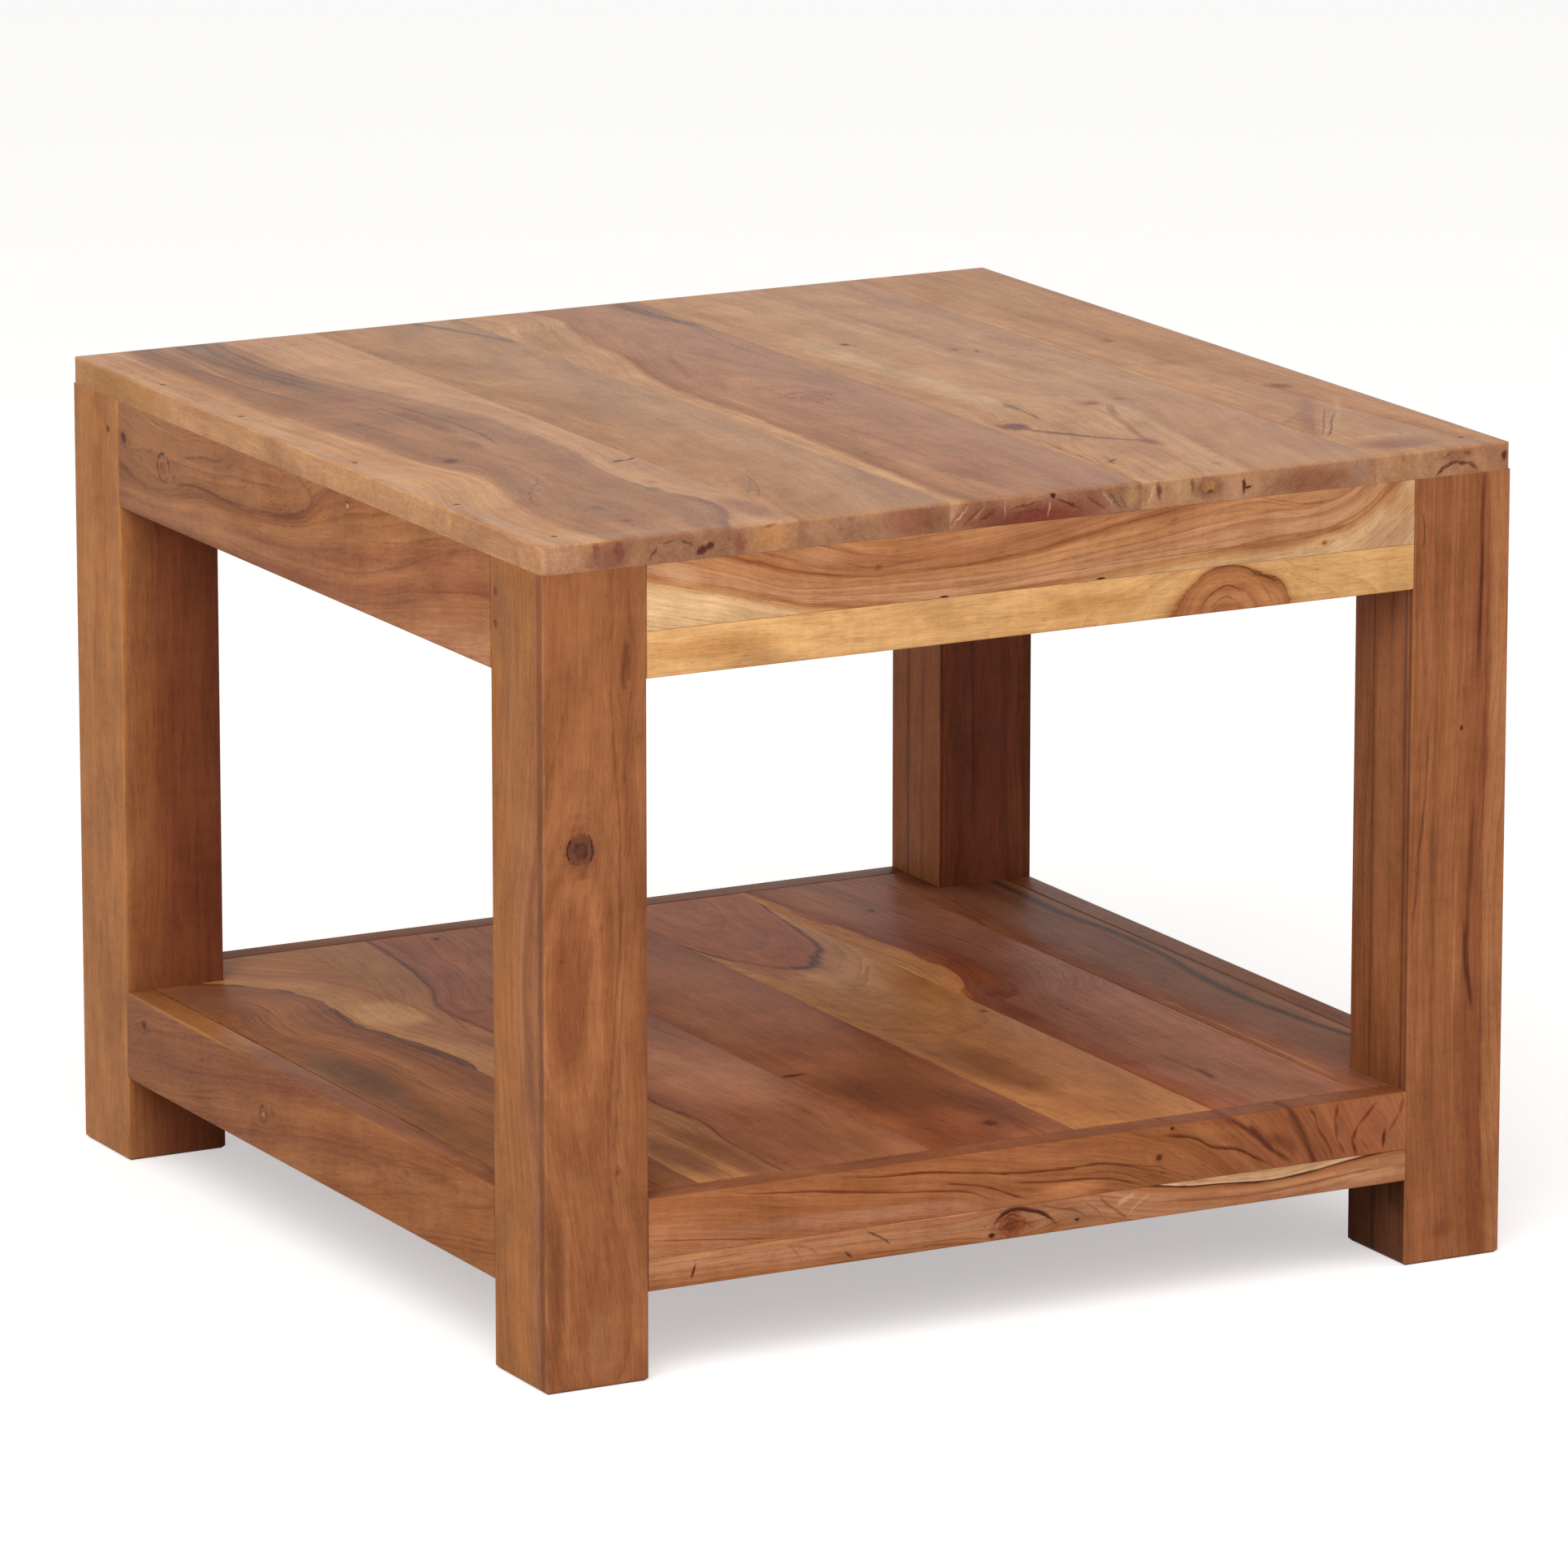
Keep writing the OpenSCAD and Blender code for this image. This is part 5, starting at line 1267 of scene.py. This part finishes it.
def screw_tree(material):
    """Countersunk steel screws: cone head with a cross recess, bare neck, and a rolled thread to the point."""
    tree, g = new_group(
        "countersunk_screws",
        {"Geometry": "Geometry", "Shank": "Float", "Head": "Float", "Length": "Float", "Pitch": "Float", "Seed": "Int"},
        {"Geometry": "Geometry"}, "GeometryNodeTree",
    )
    size = {part: add(tree, "Math", [g[whole], share], operation="MULTIPLY")
            for part, (whole, share) in SCREW_PARTS.items()}
    cone_height = add(tree, "Math", [size["rim"], size["core"]], operation="SUBTRACT")
    cone = add(tree, "MeshCone", {
        "Vertices": 40, "Radius Top": size["core"], "Radius Bottom": size["rim"], "Depth": cone_height,
    })
    # Cross recess: two slots cut into the head
    slots = []
    for turned in (0.0, math.pi / 2):
        block = add(tree, "MeshCube", [add(tree, "CombineXYZ", [size["rim"], size["slot"], size["recess"]])])
        slots.append(add(tree, "Transform", {"Geometry": block, "Rotation": (0, 0, turned)}))
    head = add(tree, "MeshBoolean", {"Mesh 1": cone, "Mesh 2": slots}, operation="DIFFERENCE")
    tip_at = add(tree, "Math", [g["Length"], size["point"]], operation="SUBTRACT")
    stem_length = add(tree, "Math", [tip_at, cone_height], operation="SUBTRACT")
    stem = add(tree, "MeshCylinder", {"Vertices": 16, "Radius": size["core"], "Depth": stem_length})
    stem_at = add(tree, "Math", [stem_length, 0.5, cone_height], operation="MULTIPLY_ADD")
    tip = add(tree, "MeshCone", {
        "Vertices": 16, "Radius Top": FINE, "Radius Bottom": size["core"], "Depth": size["point"],
    })
    thread_length = add(tree, "Math", [stem_length, THREADED], operation="MULTIPLY")
    turns = add(tree, "Math", [thread_length, g["Pitch"]], operation="DIVIDE")
    helix = add(tree, "CurveSpiral", {
        "Resolution": 14, "Rotations": turns, "Start Radius": size["crest"], "End Radius": size["crest"],
        "Height": thread_length,
    })
    profile = add(tree, "CurvePrimitiveCircle", {"Resolution": 3, "Radius": size["rib"]})
    thread = add(tree, "CurveToMesh", {"Curve": helix, "Profile Curve": profile, "Fill Caps": True})
    thread_at = add(tree, "Math", [tip_at, thread_length], operation="SUBTRACT")
    parts = [(head, 0.0), (stem, stem_at), (tip, tip_at), (thread, thread_at)]
    return set_on_points(tree, g, parts, material)


NAIL_POINT, NAIL_CUT = 1.5, 0.43  # a nail's point, and its half width where it starts, in widths of the wire
ROUNDED = 0.86  # what the rounding leaves of an end's width
LUMPS = 700.0  # per metre, the lumps that leave a rim not quite true


def turned_tree(name, material, wobble, headed=False):
    """Round pins, plugs or nails: ends rounded over, a rim that isn't quite true, and a nail's head and point."""
    tree, g = new_group(
        name,
        {"Geometry": "Geometry", "Body": "Float", "Length": "Float", "Head": "Float", "Head Height": "Float",
         "Round": "Float", "Seed": "Int"},
        {"Geometry": "Geometry"}, "GeometryNodeTree",
    )
    sections, parts = [(g["Body"], 0.0, g["Length"])], []
    if headed:
        point = add(tree, "Math", [g["Body"], NAIL_POINT], operation="MULTIPLY")
        point_at = add(tree, "Math", [g["Length"], point], operation="SUBTRACT")
        shank = add(tree, "Math", [point_at, g["Head Height"]], operation="SUBTRACT")
        sections = [(g["Head"], 0.0, g["Head Height"]), (g["Body"], g["Head Height"], shank)]
        width = add(tree, "Math", [g["Body"], NAIL_CUT], operation="MULTIPLY")
        tip = add(tree, "MeshCone", {"Vertices": 4, "Radius Top": FINE, "Radius Bottom": width, "Depth": point})
        parts.append((tip, point_at))
    for width, start, length in sections:
        radius = add(tree, "Math", [width, 0.5], operation="MULTIPLY")
        body = add(tree, "MeshCylinder", {
            "Vertices": 28, "Side Segments": 24, "Fill Segments": 4, "Radius": radius, "Depth": length,
        })
        place = add(tree, "InputPosition")
        half = add(tree, "Math", [length, 0.5], operation="MULTIPLY")
        height = add(tree, "Math", [add(tree, "SeparateXYZ", [place]).outputs["Z"]], operation="ABSOLUTE")
        from_end = add(tree, "Math", [half, height], operation="SUBTRACT")
        slim = add(tree, "MapRange", [from_end, 0, g["Round"], ROUNDED, 1], interpolation_type="SMOOTHSTEP")
        uneven = add(tree, "TexNoise", {
            "Vector": place, "W": g["Seed"], "Scale": LUMPS, "Detail": 1.0,
        }, noise_dimensions="4D")
        uneven = add(tree, "MapRange", [uneven, 0, 1, 1 - wobble, 1])
        slim = add(tree, "Math", [slim, uneven], operation="MULTIPLY")
        moved = add(tree, "VectorMath", [place, add(tree, "CombineXYZ", [slim, slim, 1.0])], operation="MULTIPLY")
        body = add(tree, "SetPosition", {"Geometry": body, "Position": moved})
        parts.append((body, add(tree, "Math", [half, start], operation="ADD")))
    return set_on_points(tree, g, parts, material)


def fasten(name, tree, node, sizes, material):
    """Runs a tree on the places of a node's fastenings and keeps the plain mesh."""
    places = seats(node)
    points = bpy.data.meshes.new(name + "_points")
    points.from_pydata([tuple(start) for start, aim in places], [], [])
    aims = points.attributes.new("aim", "FLOAT_VECTOR", "POINT")
    for item, (start, aim) in zip(aims.data, places):
        item.vector = aim
    base = bpy.data.objects.new(name + "_base", points)
    scene.collection.objects.link(base)
    modifier = base.modifiers.new("make", "NODES")
    modifier.node_group = tree
    for item in tree.interface.items_tree:
        if item.in_out == "INPUT" and item.name in sizes:
            modifier[item.identifier] = sizes[item.name]
    made = bpy.data.meshes.new_from_object(base.evaluated_get(bpy.context.evaluated_depsgraph_get()))
    base.modifiers.remove(modifier)
    bpy.data.objects.remove(base)
    made.name = name
    piece = bpy.data.objects.new(name, made)
    scene.collection.objects.link(piece)
    finish_piece(piece, material, [node])


def plain(name, color, metallic, roughness, grit, gloss=0.5):
    """One plain material with its roughness broken up at the size of its grit, in millimetres."""
    material = bpy.data.materials.new(name)
    tree = blank(material)
    place = add(tree, "TexCoord")
    noise = add(tree, "TexNoise", {"Vector": place.outputs["Object"], "Scale": 1000.0 / grit, "Detail": 3.0})
    rough = add(tree, "MapRange", [noise, 0.3, 0.7, roughness - 0.08, roughness + 0.08])
    level = add(tree, "MapRange", [noise, 0.25, 0.75, 0.82, 1.1])
    tint = add(tree, "VectorMath", {"Vector": linear(color)[:3], "Scale": level}, operation="SCALE")
    bump = add(tree, "Bump", {"Strength": 0.2, "Distance": 0.0001, "Height": noise})
    shader = add(tree, "BsdfPrincipled", {
        "Base Color": tint, "Metallic": metallic, "Roughness": rough, "Specular IOR Level": gloss, "Normal": bump,
    })
    add(tree, "OutputMaterial", {"Surface": shader})
    return material


# Yellow zinc-plated steel: a thin brassy film over bright metal
zinc = plain("yellow_zinc_steel", "#b99a55", 1.0, 0.32, 0.5)
# Drawn steel wire: grey, with the marks of the die
wire = plain("drawn_steel_wire", "#8f8d8a", 1.0, 0.42, 0.3)
# Darker heartwood, cut across the grain, so it drinks the oil
dowel = plain("acacia_dowel", "#7d4629", 0.0, 0.55, 0.6, 0.1)
# Wood filler: sawdust in glue, matt and a little darker than the boards
filler = plain("wood_filler_putty", "#84502f", 0.0, 0.65, 0.4, 0.1)

# Sizes in metres
SCREW = {"Shank": 0.004, "Head": 0.008, "Length": 0.030, "Pitch": 0.0016, "Seed": 3}
NAIL = {"Body": 0.002, "Length": 0.038, "Head": 0.0036, "Head Height": 0.001, "Round": 0.0003, "Seed": 4}
PIN = {"Body": 0.004, "Length": 0.024, "Round": 0.0004, "Seed": 5}
PLUG = {"Body": 0.0036, "Length": 0.002, "Round": 0.0002, "Seed": 6}
screws = screw_tree(zinc)
for node in ("cleat_screws", "shelf_screws", "batten_screws"):
    fasten("steel_" + node, screws, node, SCREW, zinc)
fasten("steel_top_nails", turned_tree("wire_nails", wire, 0.02, headed=True), "top_nails", NAIL, wire)
fasten("acacia_pins", turned_tree("turned_pins", dowel, 0.03), "tenon_pins", PIN, dowel)
fasten("filler_plugs", turned_tree("filler_plugs", filler, 0.06), "nail_fillers", PLUG, filler)


# Studio

AMBIENT = 0.52  # light from all round on the table
FLOOR_LIFT = 0.45  # what the floor adds to its lit colour where the camera sees it
FLOOR_EDGE = 12.0  # m from the middle, beyond what the camera sees
FOOT_RIM = 3  # mm of floor that a foot still stands on all round
CAMERA_AT = (-2.62627, -4.93653, 1.55846)
CAMERA_DOWN, CAMERA_ROUND = 13.33, -28.05  # degrees below level, and round the upright
LENS, SENSOR = 239.8, 36  # mm
# Softboxes: power, side, degrees round from the front, height and distance
LAMPS = {"key": (66, 2.8, -42, 2.3, 2.5), "fill": (10, 2.0, 55, 1.8, 2.8)}
LAMPS_AIM = 0.25  # m above the floor


def put(name, data, location=(0, 0, 0), rotation=(0, 0, 0)):
    thing = bpy.data.objects.new(name, data)
    thing.location = location
    thing.rotation_euler = rotation
    scene.collection.objects.link(thing)
    return thing


def build_studio():
    lens = bpy.data.cameras.new("camera")
    lens.sensor_width = SENSOR
    lens.lens = LENS
    scene.camera = put("camera", lens, CAMERA_AT, (math.radians(90 - CAMERA_DOWN), 0, math.radians(CAMERA_ROUND)))

    scene.world = bpy.data.worlds.new("white_room")
    tree = blank(scene.world)
    ray = add(tree, "LightPath").outputs
    seen = add(tree, "Math", [ray["Is Camera Ray"], ray["Is Glossy Ray"]], operation="MAXIMUM")
    seen = add(tree, "Math", [seen, ray["Is Transmission Ray"]], operation="MAXIMUM")
    strength = add(tree, "MapRange", [seen, 0, 1, AMBIENT, 1])
    add(tree, "OutputWorld", {"Surface": add(tree, "Background", [(1, 1, 1, 1), strength])})

    # The floor is open under each foot, so that the feet have soles when they are seen from below
    mesh = bpy.data.meshes.new("floor")
    inner, outer = (INNER + FOOT_RIM) / 1000, (TABLE - FOOT_RIM) / 1000
    marks = [-FLOOR_EDGE, -outer, -inner, inner, outer, FLOOR_EDGE]
    corners = [(x, y, 0) for y in marks for x in marks]
    tiles = [(6 * row + column, 6 * row + column + 1, 6 * row + column + 7, 6 * row + column + 6)
             for row in range(5) for column in range(5) if not (row in (1, 3) and column in (1, 3))]
    mesh.from_pydata(corners, [], tiles)
    floor = put("floor", mesh)
    # Matt paper white
    paint = bpy.data.materials.new("pale_floor")
    tree = blank(paint)
    ray = add(tree, "LightPath").outputs
    lift = add(tree, "Math", [ray["Is Camera Ray"], FLOOR_LIFT], operation="MULTIPLY")
    lit = add(tree, "BsdfDiffuse", {"Color": linear("#f3f1ee")})
    glow = add(tree, "Emission", {"Color": (1, 1, 1, 1), "Strength": lift})
    both = add(tree, "AddShader", [lit, glow])
    clear = add(tree, "BsdfTransparent")
    back = add(tree, "NewGeometry").outputs["Backfacing"]
    add(tree, "OutputMaterial", {"Surface": add(tree, "MixShader", [back, both, clear])})
    mesh.materials.append(paint)

    for name, (power, side, azimuth, height, distance) in LAMPS.items():
        lamp = bpy.data.lights.new(name, "AREA")
        lamp.shape = "SQUARE"
        lamp.size = side
        lamp.energy = power
        turn = math.radians(azimuth)
        spot = (distance * math.sin(turn), -distance * math.cos(turn), height)
        pitch = math.atan2(height - LAMPS_AIM, distance)
        put(name, lamp, spot, (math.pi / 2 - pitch, 0, turn))


build_studio()
